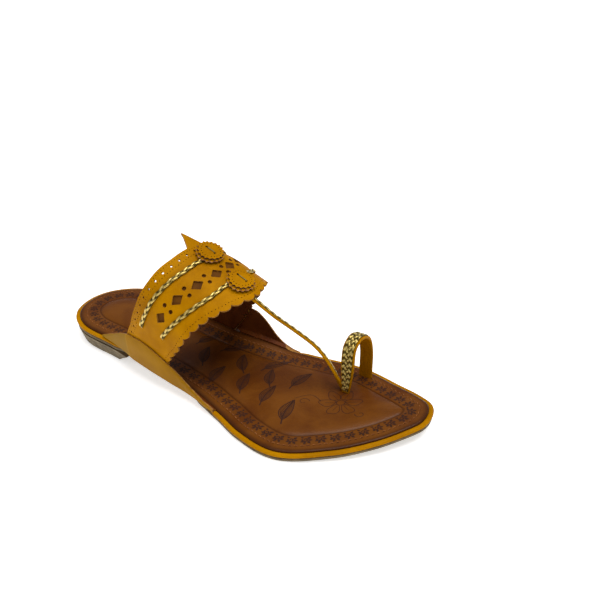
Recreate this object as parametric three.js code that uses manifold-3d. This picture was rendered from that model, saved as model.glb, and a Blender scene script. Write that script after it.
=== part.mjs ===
// A right-foot toe-ring sandal: a flat sole with a low heel, a padded footbed edged with a
// piping bead, and an openwork instep band joined by a T-strap to a ring for the big toe.
// Millimetres. The toe points to +X, the big toe side is +Y and the sole stands on Z = 0.

import * as THREE from 'three';
import Module from 'manifold-3d';
import { mergeVertices } from 'three/addons/utils/BufferGeometryUtils.js';

// Driving dimensions. Distances along the foot start just behind the heel, and those across it
// at a line through the middle of the heel.
const HEEL_BACK = 3.0;
const TOE_TIP = 250;
const BALL_WIDTH = 90.5;
const HEEL_HEIGHT = 14.5;
const FOREFOOT_HEIGHT = 5.2;
const TOE_HEIGHT = 10.5;
const CREST_REAR_HEIGHT = 78.6;
const CREST_FALL = 0.457;
const CREST_REAR_X = 103.5;

// Thicknesses of the layers and the gap left between neighbours
const GAP = 0.3;
const OUTSOLE_THICK = 2.0;
const FOOTBED_THICK = 2.9;
const FOOTBED_CROWN = 1.4;
const BORDER_WIDTH = 14;
const UPPER_THICK = 1.7;
const PANEL_THICK = 1.5;
const PIPING_WIDE = 2.6;
const PIPING_HALF_TALL = 1.1;
const PIPING_SINK = 0.7;
const OUTSOLE_LIP = 0.8;
const PIPING_LATERAL_START = 149.5;
const PIPING_MEDIAL_END = 155;
const PIPING_HEEL_END = 65;

// Heel block
const HEEL_FRONT_TOP = 70;
const HEEL_FRONT_FLOOR = 57;
const HEEL_LIP_TOP = 2.6;
const HEEL_INSET_FLOOR = 0.2;

// Outsole: how far it is tucked in under the waist, from where to where
const WAIST_TUCK = 4;
const WAIST_FROM = 70;
const WAIST_TO = 122;
const WAIST_RAMP = 14;

// Side panels: their height above the floor and the least height of their ends
const PANEL_FLOOR_CLEARANCE = 0.8;
const PANEL_LEAST_HEIGHT = 1.2;

// Upper: the band's wall, its scallops and its pointed tab
const WALL_FLARE = 2.2;
const SHOULDER_SHARE = 0.6;
const SCALLOPS = 22;
const SCALLOP_STEPS = 4;
const SCALLOP_DEPTH = 1.9;
const SCALLOP_FULLNESS = 0.6;
const SCALLOP_END = 0.78;
const TAB_LENGTH = 10.5;
const TAB_CENTRE = 0.035;
const TAB_HALF_WIDTH = 0.072;

// Openwork of the band
const DIAMONDS = 9;
const DIAMOND_PITCH = 0.134;
const DIAMOND_CENTRE = 0.077;
const DIAMOND_LINE = 0.485;
const DIAMOND_HALF_ROW = 4.2;
const DIAMOND_HALF_CROSS = 3.4;
const ROUND_HOLE_RADIUS = 1.25;
const ROUND_HOLE_SPREAD = 2.6;

// Braids, T-strap, toe ring and rosettes
const BRAID_REAR_LINE = 0.24;
const BRAID_FRONT_LINE = 0.655;
const BRAID_FRONT_BOW = 0.08;
const BRAID_END = 0.575;
const BRAID_WIDE = 3.3;
const BRAID_THICK = 0.9;
const STRAP_WIDE = 4.4;
const STRAP_THICK = 1.5;
const STRAP_BRAID_WIDE = 3.2;
const STRAP_BRAID_THICK = 0.6;
const STRAP_BRAID_SPAN = [0.22, 0.84];
const RING_WIDE = 8.4;
const RING_THICK = 1.7;
const RING_BRAID_WIDE = 6.6;
const RING_BRAID_THICK = 0.9;
const RING_BRAID_SPAN = [0.12, 0.93];
const RING_X = 199.7;
const ROSETTE_RADIUS = 8.6;
const ROSETTE_TOP_RADIUS = 7.8;
const ROSETTE_THICK = 0.8;
const ROSETTE_TEETH = 18;
const ROSETTE_TOOTH_DEPTH = 0.9;

// The part's own origin, on the floor under the middle of its box
const ORIGIN_X = 126.5;
const ORIGIN_Y = -6.6;

// Cross-sections of the sole, from the back of the heel to the tip of the toe. "along" is a
// share of the toe tip's distance, "lateral" and "medial" are half-widths over the ball width,
// "top" is the footbed's height and "lift" is how far the inner arch is raised.
const SOLE_SECTIONS = [
  { along: HEEL_BACK / TOE_TIP, lateral: -0.017, medial: 0.017, top: HEEL_HEIGHT, lift: 0.0 },
  { along: 0.03, lateral: 0.154, medial: 0.177, top: HEEL_HEIGHT, lift: 0.0 },
  { along: 0.1, lateral: 0.287, medial: 0.318, top: HEEL_HEIGHT, lift: 0.0 },
  { along: 0.22, lateral: 0.322, medial: 0.32, top: HEEL_HEIGHT, lift: 0.0 },
  { along: 0.38, lateral: 0.37, medial: 0.252, top: 11.4, lift: 2.4 },
  { along: 0.52, lateral: 0.393, medial: 0.29, top: 6.5, lift: 2.8 },
  { along: 0.6, lateral: 0.452, medial: 0.33, top: FOREFOOT_HEIGHT, lift: 1.2 },
  { along: 0.68, lateral: 0.527, medial: 0.38, top: FOREFOOT_HEIGHT, lift: 0.0 },
  { along: 0.78, lateral: 0.552, medial: 0.413, top: FOREFOOT_HEIGHT, lift: 0.0 },
  { along: 0.88, lateral: 0.388, medial: 0.352, top: 6.7, lift: 0.0 },
  { along: 0.95, lateral: 0.191, medial: 0.288, top: 8.9, lift: 0.0 },
  { along: 0.985, lateral: 0.038, medial: 0.226, top: 10.2, lift: 0.0 },
  { along: 1.0, lateral: -0.09, medial: 0.09, top: TOE_HEIGHT, lift: 0.0 },
];

// Cross-sections of the instep, at distances from the back of the heel. "shoulder" is the
// height where the upright wall turns into the arch, and the two "square" columns say how
// boxy that arch is on each side: 2 is an ellipse.
const INSTEP_SECTIONS = [
  { x: 60, shoulder: 39, squareLateral: 3.0, squareMedial: 2.4 },
  { x: 100, shoulder: 36, squareLateral: 2.8, squareMedial: 2.0 },
  { x: 120, shoulder: 33, squareLateral: 2.2, squareMedial: 2.4 },
  { x: 140, shoulder: 29, squareLateral: 2.0, squareMedial: 2.2 },
  { x: 165, shoulder: 26, squareLateral: 2.0, squareMedial: 2.0 },
];

// Rear and front edges of the band. "across" runs from -1 at the lateral foot of the wall,
// over the crest at 0, to 1 at its medial foot.
const BAND_EDGES = [
  { across: -1.0, rear: 68, front: 104 },
  { across: -0.75, rear: 76, front: 113 },
  { across: -0.6, rear: 82, front: 121 },
  { across: -0.45, rear: 91, front: 129.5 },
  { across: -0.3, rear: 99, front: 137.3 },
  { across: -0.15, rear: 103, front: 144.4 },
  { across: 0.0, rear: CREST_REAR_X, front: 148.5 },
  { across: 0.15, rear: 103, front: 144.8 },
  { across: 0.3, rear: 98.5, front: 138.2 },
  { across: 0.45, rear: 91, front: 130.4 },
  { across: 0.6, rear: 82.5, front: 122.5 },
  { across: 0.75, rear: 77, front: 117 },
  { across: 1.0, rear: 70, front: 107 },
];

// The two side panels: the height of their top edge, and how far they hang from the band's foot
// down over the sole's edge, below the footbed
const PANEL_LATERAL = [
  { x: 46, top: 15.0, drop: 0.3 },
  { x: 60, top: 21.8, drop: 0.3 },
  { x: 71, top: 27.0, drop: 0.3 },
  { x: 79, top: 29.2, drop: 1.9 },
  { x: 88, top: 29.0, drop: 1.9 },
  { x: 97, top: 27.2, drop: 1.9 },
  { x: 110, top: 21.5, drop: 1.9 },
  { x: 118, top: 17.5, drop: 1.4 },
  { x: 126, top: 12.2, drop: 1.0 },
  { x: 136, top: 8.2, drop: 0.9 },
  { x: 147, top: 6.0, drop: 0.7 },
];
const PANEL_MEDIAL = [
  { x: 46, top: 15.0, drop: 0.3 },
  { x: 60, top: 21.8, drop: 0.3 },
  { x: 72, top: 27.2, drop: 0.3 },
  { x: 80, top: 29.2, drop: 1.9 },
  { x: 90, top: 28.8, drop: 2.4 },
  { x: 104, top: 28.4, drop: 2.8 },
  { x: 114, top: 28.0, drop: 2.8 },
  { x: 122, top: 26.6, drop: 2.8 },
  { x: 127, top: 23.0, drop: 2.8 },
  { x: 132, top: 17.8, drop: 2.8 },
  { x: 136, top: 13.2, drop: 2.6 },
  { x: 140, top: 9.8, drop: 2.6 },
  { x: 144, top: 7.4, drop: 2.6 },
  { x: 148, top: 5.8, drop: 2.4 },
  { x: 152, top: 4.8, drop: 2.2 },
];

// Middle line of the T-strap, from under the band's crest down between the first two toes, and
// how far its face is banked towards the big toe at its top, half-way down and at its foot
const STRAP_ROUTE = [
  { x: 137, y: -0.6, z: 61.2 },
  { x: 146.5, y: 0.2, z: 55.1 },
  { x: 158.5, y: 3.0, z: 46.4 },
  { x: 169.5, y: 6.5, z: 38.9 },
  { x: 180, y: 9.8, z: 30.9 },
  { x: 187, y: 10.8, z: 23.4 },
  { x: 192, y: 10.9, z: 15.3 },
  { x: 196.5, y: 12.6, z: 4.0 },
];
const STRAP_BANK = [
  { share: 0.0, degrees: 17 },
  { share: 0.5, degrees: 26 },
  { share: 1.0, degrees: 55 },
];

// The toe ring's middle line, from its lateral foot over the big toe to its medial foot
const RING_ROUTE = [
  { y: 10.4, z: 4.0 },
  { y: 11.8, z: 13.5 },
  { y: 13.0, z: 23.0 },
  { y: 15.5, z: 33.4 },
  { y: 22.0, z: 36.9 },
  { y: 29.9, z: 33.2 },
  { y: 33.0, z: 23.0 },
  { y: 32.6, z: 13.0 },
  { y: 31.9, z: 4.0 },
];

// The two rosettes on the crest: where each lies across the band and between its edges
const ROSETTES = [
  { name: 'rosette_rear', across: 0.045, line: 0.26 },
  { name: 'rosette_front', across: 0.01, line: 0.744 },
];

const wasm = await Module();
wasm.setup();

// Cubic through the rows of a table. It doesn't overshoot between two equal values, unless
// "rounded" asks for the mean slope at every row, as a sole's outline needs.
function tableValue(rows, key, column, at, rounded = false) {
  const last = rows.length - 1;
  const clamped = Math.min(Math.max(at, rows[0][key]), rows[last][key]);
  let i = 0;
  while (i < last - 1 && clamped > rows[i + 1][key]) i += 1;
  const slope = (k) => (rows[k + 1][column] - rows[k][column]) / (rows[k + 1][key] - rows[k][key]);
  const tangent = (k) => {
    if (k === 0) return slope(0);
    if (k === last) return slope(last - 1);
    const before = slope(k - 1);
    const after = slope(k);
    if (rounded) return (before + after) / 2;
    return before * after <= 0 ? 0 : (2 * before * after) / (before + after);
  };
  const span = rows[i + 1][key] - rows[i][key];
  const t = (clamped - rows[i][key]) / span;
  const t2 = t * t;
  const t3 = t2 * t;
  return (2 * t3 - 3 * t2 + 1) * rows[i][column] + (t3 - 2 * t2 + t) * span * tangent(i)
    + (3 * t2 - 2 * t3) * rows[i + 1][column] + (t3 - t2) * span * tangent(i + 1);
}

// The sole's plan is interpolated over an angle, so that heel and toe close as round ends
const SPAN = TOE_TIP - HEEL_BACK;
const turnAt = (x) => Math.acos(1 - 2 * Math.min(Math.max((x - HEEL_BACK) / SPAN, 0), 1)) / Math.PI;
const xAt = (turn) => HEEL_BACK + SPAN * (1 - Math.cos(Math.PI * turn)) / 2;
const PLAN_SECTIONS = SOLE_SECTIONS.map((row) => ({ ...row, turn: turnAt(row.along * TOE_TIP) }));

function halfWidth(side, x) {
  const column = side < 0 ? 'lateral' : 'medial';
  return BALL_WIDTH * tableValue(PLAN_SECTIONS, 'turn', column, turnAt(x), true);
}

// Height of the footbed's edge at a distance x, and across the foot at y
function footbedHeight(x, y) {
  const along = x / TOE_TIP;
  const lift = tableValue(SOLE_SECTIONS, 'along', 'lift', along);
  const share = Math.min(Math.max(y / Math.max(halfWidth(1, x), 1), 0), 1.2);
  return tableValue(SOLE_SECTIONS, 'along', 'top', along) + lift * share * share;
}

const soleBottom = (x, y) => Math.max(footbedHeight(x, y) - FOREFOOT_HEIGHT, 0);

// A closed solid between two surfaces over the same grid: an outer and an inner skin, with
// walls along the four borders
function sheetGeometry(columns, rows, outer, inner) {
  const vertices = [];
  const triangles = [];
  const skins = [outer, inner];
  for (const skin of skins) {
    for (let i = 0; i <= columns; i += 1) {
      for (let j = 0; j <= rows; j += 1) {
        const point = skin(i / columns, j / rows);
        vertices.push(point.x, point.y, point.z);
      }
    }
  }
  const perSkin = (columns + 1) * (rows + 1);
  const at = (skin, i, j) => skin * perSkin + i * (rows + 1) + j;
  const quad = (a, b, c, d) => triangles.push(a, b, c, a, c, d);
  for (let i = 0; i < columns; i += 1) {
    for (let j = 0; j < rows; j += 1) {
      quad(at(0, i, j), at(0, i + 1, j), at(0, i + 1, j + 1), at(0, i, j + 1));
      quad(at(1, i, j), at(1, i, j + 1), at(1, i + 1, j + 1), at(1, i + 1, j));
    }
    quad(at(1, i, 0), at(1, i + 1, 0), at(0, i + 1, 0), at(0, i, 0));
    quad(at(0, i, rows), at(0, i + 1, rows), at(1, i + 1, rows), at(1, i, rows));
  }
  for (let j = 0; j < rows; j += 1) {
    quad(at(0, 0, j), at(0, 0, j + 1), at(1, 0, j + 1), at(1, 0, j));
    quad(at(1, columns, j), at(1, columns, j + 1), at(0, columns, j + 1), at(0, columns, j));
  }
  const geometry = new THREE.BufferGeometry();
  geometry.setAttribute('position', new THREE.Float32BufferAttribute(vertices, 3));
  geometry.setIndex(triangles);
  return geometry;
}

function solidOf(geometry) {
  const bare = geometry.clone();
  bare.deleteAttribute('normal');
  bare.deleteAttribute('uv');
  const merged = mergeVertices(bare, 1e-4);
  const vertProperties = new Float32Array(merged.attributes.position.array);
  const triVerts = new Uint32Array(merged.index.array);
  return new wasm.Manifold(new wasm.Mesh({ numProp: 3, vertProperties, triVerts }));
}

function geometryOf(solid) {
  const mesh = solid.getMesh();
  const geometry = new THREE.BufferGeometry();
  geometry.setAttribute('position', new THREE.Float32BufferAttribute(mesh.vertProperties, 3));
  geometry.setIndex(new THREE.Uint32BufferAttribute(mesh.triVerts, 1));
  return geometry;
}

// A plate over the sole's plan, grown by a lip, between an upper and a lower height
function plateGeometry(columns, rows, lipAt, upperZ, lowerZ) {
  const END_SHARE = 0.035;
  const place = (u, v) => {
    const turn = END_SHARE + (1 - 2 * END_SHARE) * u;
    const x = xAt(turn);
    const lip = lipAt(x);
    const lateral = -halfWidth(-1, x) - lip;
    const medial = halfWidth(1, x) + lip;
    const grown = x + lip * Math.cos(Math.PI * (1 - turn)) ** 3;
    return { x, grown, y: lateral + (medial - lateral) * v };
  };
  const skin = (height) => (u, v) => {
    const { x, grown, y } = place(u, v);
    return new THREE.Vector3(grown, y, height(x, y));
  };
  return sheetGeometry(columns, rows, skin(upperZ), skin(lowerZ));
}

// Outsole: a thin sheet from heel to toe, arched and tucked in at the waist, sprung at the toe
function outsoleGeometry() {
  const ramp = (distance) => THREE.MathUtils.smoothstep(distance, 0, WAIST_RAMP);
  const lip = (x) => OUTSOLE_LIP - WAIST_TUCK * ramp(x - WAIST_FROM) * ramp(WAIST_TO - x);
  return plateGeometry(34, 6, lip, (x, y) => soleBottom(x, y) + OUTSOLE_THICK, soleBottom);
}

// Footbed: a padded board, its middle raised inside a lower border
function footbedGeometry(grow) {
  const height = (x, y) => {
    const side = y < 0 ? -1 : 1;
    const inside = halfWidth(side, x) - Math.abs(y);
    const ends = Math.min(x - HEEL_BACK, TOE_TIP - x);
    const share = Math.min(Math.max(Math.min(inside, ends) / BORDER_WIDTH, 0), 1);
    return footbedHeight(x, y) + FOOTBED_CROWN * share * share * (3 - 2 * share) + grow;
  };
  return plateGeometry(34, 8, () => grow, height, (x, y) => footbedHeight(x, y) - FOOTBED_THICK - grow);
}

// Heel block: a low stacked lift under the back of the sole, narrower at the floor
function heelGeometry() {
  const BACK_TOP = HEEL_BACK + 0.9;
  const BACK_FLOOR = HEEL_BACK + 0.4;
  const skin = (back, front, lip, height) => (u, v) => {
    const x = back + (front - back) * (1 - Math.cos(Math.PI * 0.5 * u));
    const lateral = -halfWidth(-1, x) - lip;
    const medial = halfWidth(1, x) + lip;
    const y = lateral + (medial - lateral) * v;
    return new THREE.Vector3(x - Math.max(lip, 0), y, height(x, y));
  };
  const top = skin(BACK_TOP, HEEL_FRONT_TOP, HEEL_LIP_TOP, (x, y) => soleBottom(x, y) - GAP);
  const floor = skin(BACK_FLOOR, HEEL_FRONT_FLOOR, -HEEL_INSET_FLOOR, () => 0);
  return sheetGeometry(14, 4, top, floor);
}

// Point of the sole's edge for an edge parameter that runs 0 at the heel, over the lateral
// side to 1 at the toe and back along the medial side to 2 at the heel
function edgePoint(edge) {
  const side = edge < 1 ? -1 : 1;
  const x = xAt(edge < 1 ? edge : 2 - edge);
  return new THREE.Vector2(x, side * halfWidth(side, x));
}

function edgeNormal(edge) {
  const STEP = 0.012;
  const wrapped = (value) => (value + 2) % 2;
  const ahead = edgePoint(wrapped(edge + STEP));
  const behind = edgePoint(wrapped(edge - STEP));
  const along = ahead.sub(behind).normalize();
  return new THREE.Vector2(along.y, -along.x);
}

// Piping: a leather bead of half-round section along a stretch of the footbed's edge, its top
// a little lower than that edge
function pipingGeometry(from, to, steps) {
  const BACK_WALL = 0.7;
  const point = (u, v, bulge) => {
    const edge = (from + (to - from) * u + 2) % 2;
    const base = edgePoint(edge);
    const normal = edgeNormal(edge);
    const angle = Math.PI * (v - 0.5);
    const out = GAP + BACK_WALL * (bulge > 0 ? 1 : 0) + bulge * Math.cos(angle);
    const middle = footbedHeight(base.x, base.y) - PIPING_HALF_TALL - PIPING_SINK;
    const height = middle + PIPING_HALF_TALL * Math.sin(angle);
    return new THREE.Vector3(base.x + normal.x * out, base.y + normal.y * out, height);
  };
  const outer = (u, v) => point(u, v, PIPING_WIDE - BACK_WALL);
  const inner = (u, v) => point(u, v, 0);
  return sheetGeometry(steps, 4, outer, inner);
}

// The instep form: a point of the upper's outer face at distance x and place "across"
function instepPoint(x, across) {
  const side = across < 0 ? -1 : 1;
  const share = Math.abs(across);
  const shoulder = tableValue(INSTEP_SECTIONS, 'x', 'shoulder', x);
  const square = tableValue(INSTEP_SECTIONS, 'x', side < 0 ? 'squareLateral' : 'squareMedial', x);
  const foot = halfWidth(side, x) + GAP + UPPER_THICK;
  const reach = foot + WALL_FLARE;
  if (share > SHOULDER_SHARE) {
    const down = (share - SHOULDER_SHARE) / (1 - SHOULDER_SHARE);
    const footZ = footbedHeight(x, side * foot) - FOOTBED_THICK + GAP;
    const y = side * (reach + (foot - reach) * down * down);
    return new THREE.Vector3(x, y, shoulder + (footZ - shoulder) * down);
  }
  const angle = 0.5 * Math.PI * share / SHOULDER_SHARE;
  const wide = Math.sin(angle);
  const tall = Math.cos(angle);
  const norm = (wide ** square + tall ** square) ** (1 / square);
  const crest = CREST_REAR_HEIGHT - CREST_FALL * (x - CREST_REAR_X);
  return new THREE.Vector3(x, side * reach * wide / norm, shoulder + (crest - shoulder) * tall / norm);
}

// Outward normal of the instep form, from two short steps along it
function instepNormal(x, across) {
  const STEP_X = 0.5;
  const STEP_ACROSS = 0.004;
  const low = Math.max(across - STEP_ACROSS, -1);
  const high = Math.min(across + STEP_ACROSS, 1);
  const along = instepPoint(x + STEP_X, across).sub(instepPoint(x - STEP_X, across));
  const over = instepPoint(x, high).sub(instepPoint(x, low));
  return along.cross(over).normalize();
}

function instepOffset(x, across, offset) {
  return instepPoint(x, across).addScaledVector(instepNormal(x, across), offset);
}

// Where the band lies along the foot at "across": 0 is its rear edge, 1 its front edge
function bandX(across, share) {
  const rear = tableValue(BAND_EDGES, 'across', 'rear', across);
  const front = tableValue(BAND_EDGES, 'across', 'front', across);
  return rear + (front - rear) * share;
}

function bandEdges(across) {
  const tab = Math.max(1 - Math.abs(across - TAB_CENTRE) / TAB_HALF_WIDTH, 0);
  const lobe = (across + SCALLOP_END) / (2 * SCALLOP_END) * SCALLOPS;
  const inRow = Math.abs(across) < SCALLOP_END;
  const bulge = inRow ? Math.abs(Math.sin(Math.PI * lobe)) ** SCALLOP_FULLNESS : 1;
  return {
    rear: bandX(across, 0) - TAB_LENGTH * tab,
    front: bandX(across, 1) - SCALLOP_DEPTH * (1 - bulge),
  };
}

// The band's columns: four to a scallop, and a few more down each foot
const FOOT_STEPS = 3;
const LOBE_STEPS = SCALLOPS * SCALLOP_STEPS;
const BAND_STEPS = LOBE_STEPS + 2 * FOOT_STEPS;

function bandAcross(u) {
  const column = Math.round(u * BAND_STEPS);
  if (column < FOOT_STEPS) return -1 + (1 - SCALLOP_END) * column / FOOT_STEPS;
  if (column > BAND_STEPS - FOOT_STEPS) return 1 - (1 - SCALLOP_END) * (BAND_STEPS - column) / FOOT_STEPS;
  return -SCALLOP_END + 2 * SCALLOP_END * (column - FOOT_STEPS) / LOBE_STEPS;
}

function bandGeometry() {
  const skin = (depth) => (u, v) => {
    const across = bandAcross(u);
    const { rear, front } = bandEdges(across);
    return instepOffset(rear + (front - rear) * (1 - v), across, -depth);
  };
  return sheetGeometry(BAND_STEPS, 4, skin(0), skin(UPPER_THICK));
}

// A punch through the band's wall, standing along the wall's normal and turned with the row of
// holes. "slide" moves it out of the row towards the band's front edge.
function punch(shape, across, share, slide) {
  const DEEP = 7;
  const ROW_STEP = 0.02;
  const x = bandX(across, share);
  const normal = instepNormal(x, across);
  const inRow = (place) => instepPoint(bandX(place, share), place);
  const over = inRow(across + ROW_STEP).sub(inRow(across - ROW_STEP)).projectOnPlane(normal).normalize();
  const along = over.clone().cross(normal);
  const geometry = new THREE.ExtrudeGeometry(shape, { depth: DEEP, bevelEnabled: false });
  geometry.translate(slide, 0, -DEEP / 2 - UPPER_THICK / 2);
  const frame = new THREE.Matrix4().makeBasis(along, over, normal).setPosition(instepPoint(x, across));
  return solidOf(geometry.applyMatrix4(frame));
}

function polygon(sides, halfCross, halfRow) {
  const corners = Array.from({ length: sides }, (_, k) => {
    const angle = 2 * Math.PI * k / sides;
    return new THREE.Vector2(halfCross * Math.cos(angle), halfRow * Math.sin(angle));
  });
  return new THREE.Shape(corners);
}

// Nine diamonds in a row over the instep, with a pair of round holes between each two
function openwork(band) {
  const diamond = polygon(4, DIAMOND_HALF_CROSS, DIAMOND_HALF_ROW);
  const round = polygon(10, ROUND_HOLE_RADIUS, ROUND_HOLE_RADIUS);
  const first = DIAMOND_CENTRE - DIAMOND_PITCH * (DIAMONDS - 1) / 2;
  let cut = band;
  for (let k = 0; k < DIAMONDS; k += 1) {
    const across = first + DIAMOND_PITCH * k;
    cut = cut.subtract(punch(diamond, across, DIAMOND_LINE, 0));
    if (k === DIAMONDS - 1) break;
    for (const side of [-1, 1]) {
      cut = cut.subtract(punch(round, across + DIAMOND_PITCH / 2, DIAMOND_LINE, side * ROUND_HOLE_SPREAD));
    }
  }
  return cut;
}

// A flat strip that follows a curve: "wideAxis" gives the direction of its width at a share t
function stripGeometry(curve, steps, span, width, lower, upper, wideAxis) {
  const skin = (offset) => (u, v) => {
    const t = span[0] + (span[1] - span[0]) * u;
    const tangent = curve.getTangent(t);
    const wide = wideAxis(tangent, t);
    const normal = tangent.clone().cross(wide).normalize();
    return curve.getPoint(t).addScaledVector(wide, width * (v - 0.5)).addScaledVector(normal, offset);
  };
  return sheetGeometry(steps, 1, skin(upper), skin(lower));
}

const strapCurve = new THREE.CatmullRomCurve3(
  STRAP_ROUTE.map((row) => new THREE.Vector3(row.x, row.y, row.z)),
);
const ringCurve = new THREE.CatmullRomCurve3(
  RING_ROUTE.map((row) => new THREE.Vector3(RING_X, row.y, row.z)),
);
const strapWide = (tangent, t) => {
  const bank = THREE.MathUtils.degToRad(tableValue(STRAP_BANK, 'share', 'degrees', t));
  return new THREE.Vector3(-tangent.y, tangent.x, 0).normalize().applyAxisAngle(tangent, -bank);
};
const ringWide = () => new THREE.Vector3(-1, 0, 0);

function strapStrip(span, width, lower, upper) {
  return stripGeometry(strapCurve, 18, span, width, lower, upper, strapWide);
}

function ringStrip(span, width, lower, upper) {
  return stripGeometry(ringCurve, 26, span, width, lower, upper, ringWide);
}

// Upper: band, T-strap and toe ring joined as one wall, trimmed clear of the footbed
function upperGeometry() {
  const band = openwork(solidOf(bandGeometry()));
  const strap = solidOf(strapStrip([0, 1], STRAP_WIDE, -STRAP_THICK / 2, STRAP_THICK / 2));
  const ring = solidOf(ringStrip([0, 1], RING_WIDE, -RING_THICK / 2, RING_THICK / 2));
  const loops = strap.add(ring).subtract(solidOf(footbedGeometry(GAP)));
  return geometryOf(band.add(loops));
}

// Side panel: a leather wrap outside the band's foot, down over the edge of the sole
function panelGeometry(side, rows) {
  const first = rows[0].x;
  const last = rows[rows.length - 1].x;
  const skin = (depth) => (u, v) => {
    const x = first + (last - first) * u;
    const foot = halfWidth(side, x) + GAP + UPPER_THICK;
    const drop = tableValue(rows, 'x', 'drop', x);
    const bottom = Math.max(footbedHeight(x, side * foot) - drop, PANEL_FLOOR_CLEARANCE);
    const top = Math.max(tableValue(rows, 'x', 'top', x), bottom + PANEL_LEAST_HEIGHT);
    const z = bottom + (top - bottom) * v;
    const shoulder = tableValue(INSTEP_SECTIONS, 'x', 'shoulder', x);
    const footZ = footbedHeight(x, side * foot) - FOOTBED_THICK + GAP;
    const down = Math.min(Math.max((shoulder - z) / (shoulder - footZ), 0), 1);
    const out = foot + WALL_FLARE * (1 - down * down) + GAP + depth;
    return new THREE.Vector3(x, side * out, z);
  };
  return side < 0
    ? sheetGeometry(28, 3, skin(PANEL_THICK), skin(0))
    : sheetGeometry(28, 3, skin(0), skin(PANEL_THICK));
}

// Braid: a raised cord laid across the band along a line between its edges, which bows forward
// half-way down each side
function braidGeometry(line, bow) {
  const place = (u, v, offset) => {
    const across = -BRAID_END + 2 * BRAID_END * u;
    const share = line + bow * Math.sin(Math.PI * Math.abs(across) / BRAID_END);
    return instepOffset(bandX(across, share) + BRAID_WIDE * (0.5 - v), across, offset);
  };
  return sheetGeometry(44, 1, (u, v) => place(u, v, GAP + BRAID_THICK), (u, v) => place(u, v, GAP));
}

// Rosette disc: a pinked leather round draped over the crest, stacked above the braid. Its
// rows are a middle point, a ring half-way out and the toothed rim.
function rosetteGeometry(place, radius, level, turn) {
  const SPAN_X = 8;
  const SPAN_ACROSS = 0.08;
  const RINGS = 2;
  const { across, line } = place;
  const x = bandX(across, line);
  const span = (dx, da) => instepOffset(x + dx, across + da, level)
    .distanceTo(instepOffset(x - dx, across - da, level));
  const perX = span(SPAN_X, 0) / (2 * SPAN_X);
  const perAcross = span(0, SPAN_ACROSS) / (2 * SPAN_ACROSS);
  const corners = 2 * ROSETTE_TEETH;
  const vertices = [];
  const triangles = [];
  const add = (share, k, height) => {
    const reach = share * (k % 2 ? radius - ROSETTE_TOOTH_DEPTH : radius);
    const angle = Math.PI * (k + turn) / ROSETTE_TEETH;
    const draped = instepOffset(
      x + reach * Math.cos(angle) / perX,
      across + reach * Math.sin(angle) / perAcross,
      height,
    );
    vertices.push(draped.x, draped.y, draped.z);
  };
  for (const height of [level + ROSETTE_THICK, level]) {
    add(0, 0, height);
    for (let ring = 1; ring <= RINGS; ring += 1) {
      for (let k = 0; k < corners; k += 1) add(ring / RINGS, k, height);
    }
  }
  const perFace = 1 + RINGS * corners;
  const at = (face, ring, k) => face * perFace + 1 + (ring - 1) * corners + k % corners;
  for (let k = 0; k < corners; k += 1) {
    triangles.push(0, at(0, 1, k), at(0, 1, k + 1));
    triangles.push(perFace, at(1, 1, k + 1), at(1, 1, k));
    for (let ring = 1; ring < RINGS; ring += 1) {
      triangles.push(at(0, ring, k), at(0, ring + 1, k), at(0, ring + 1, k + 1));
      triangles.push(at(0, ring, k), at(0, ring + 1, k + 1), at(0, ring, k + 1));
      triangles.push(at(1, ring, k), at(1, ring + 1, k + 1), at(1, ring + 1, k));
      triangles.push(at(1, ring, k), at(1, ring, k + 1), at(1, ring + 1, k + 1));
    }
    triangles.push(at(0, RINGS, k), at(1, RINGS, k), at(1, RINGS, k + 1));
    triangles.push(at(0, RINGS, k), at(1, RINGS, k + 1), at(0, RINGS, k + 1));
  }
  const geometry = new THREE.BufferGeometry();
  geometry.setAttribute('position', new THREE.Float32BufferAttribute(vertices, 3));
  geometry.setIndex(triangles);
  return geometry;
}

const sandal = new THREE.Group();
sandal.position.set(-ORIGIN_X, -ORIGIN_Y, 0);

function addPiece(name, geometry, color, roughness, metalness = 0) {
  const mesh = new THREE.Mesh(geometry, new THREE.MeshStandardMaterial({ color, roughness, metalness }));
  mesh.name = name;
  sandal.add(mesh);
}

const MUSTARD = 0xc88e0c;
const DULL_MUSTARD = 0xa87c1e;
const GOLD = 0xc8b46e;
const BROWN = 0x6a3c14;
const GREY_BROWN = 0x64554a;

addPiece('outsole', outsoleGeometry(), GREY_BROWN, 0.8);
addPiece('heel_block', heelGeometry(), GREY_BROWN, 0.8);
addPiece('footbed', footbedGeometry(0), BROWN, 0.45);
const toePiping = pipingGeometry(turnAt(PIPING_LATERAL_START), 2 - turnAt(PIPING_MEDIAL_END), 40);
const heelPiping = pipingGeometry(-turnAt(PIPING_HEEL_END), turnAt(PIPING_HEEL_END), 26);
addPiece('piping_toe', toePiping, MUSTARD, 0.4);
addPiece('piping_heel', heelPiping, MUSTARD, 0.4);
addPiece('upper', upperGeometry(), MUSTARD, 0.45);
addPiece('side_panel_lateral', panelGeometry(-1, PANEL_LATERAL), DULL_MUSTARD, 0.5);
addPiece('side_panel_medial', panelGeometry(1, PANEL_MEDIAL), DULL_MUSTARD, 0.5);
addPiece('band_braid_rear', braidGeometry(BRAID_REAR_LINE, 0), GOLD, 0.35, 0.6);
addPiece('band_braid_front', braidGeometry(BRAID_FRONT_LINE, BRAID_FRONT_BOW), GOLD, 0.35, 0.6);

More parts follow.
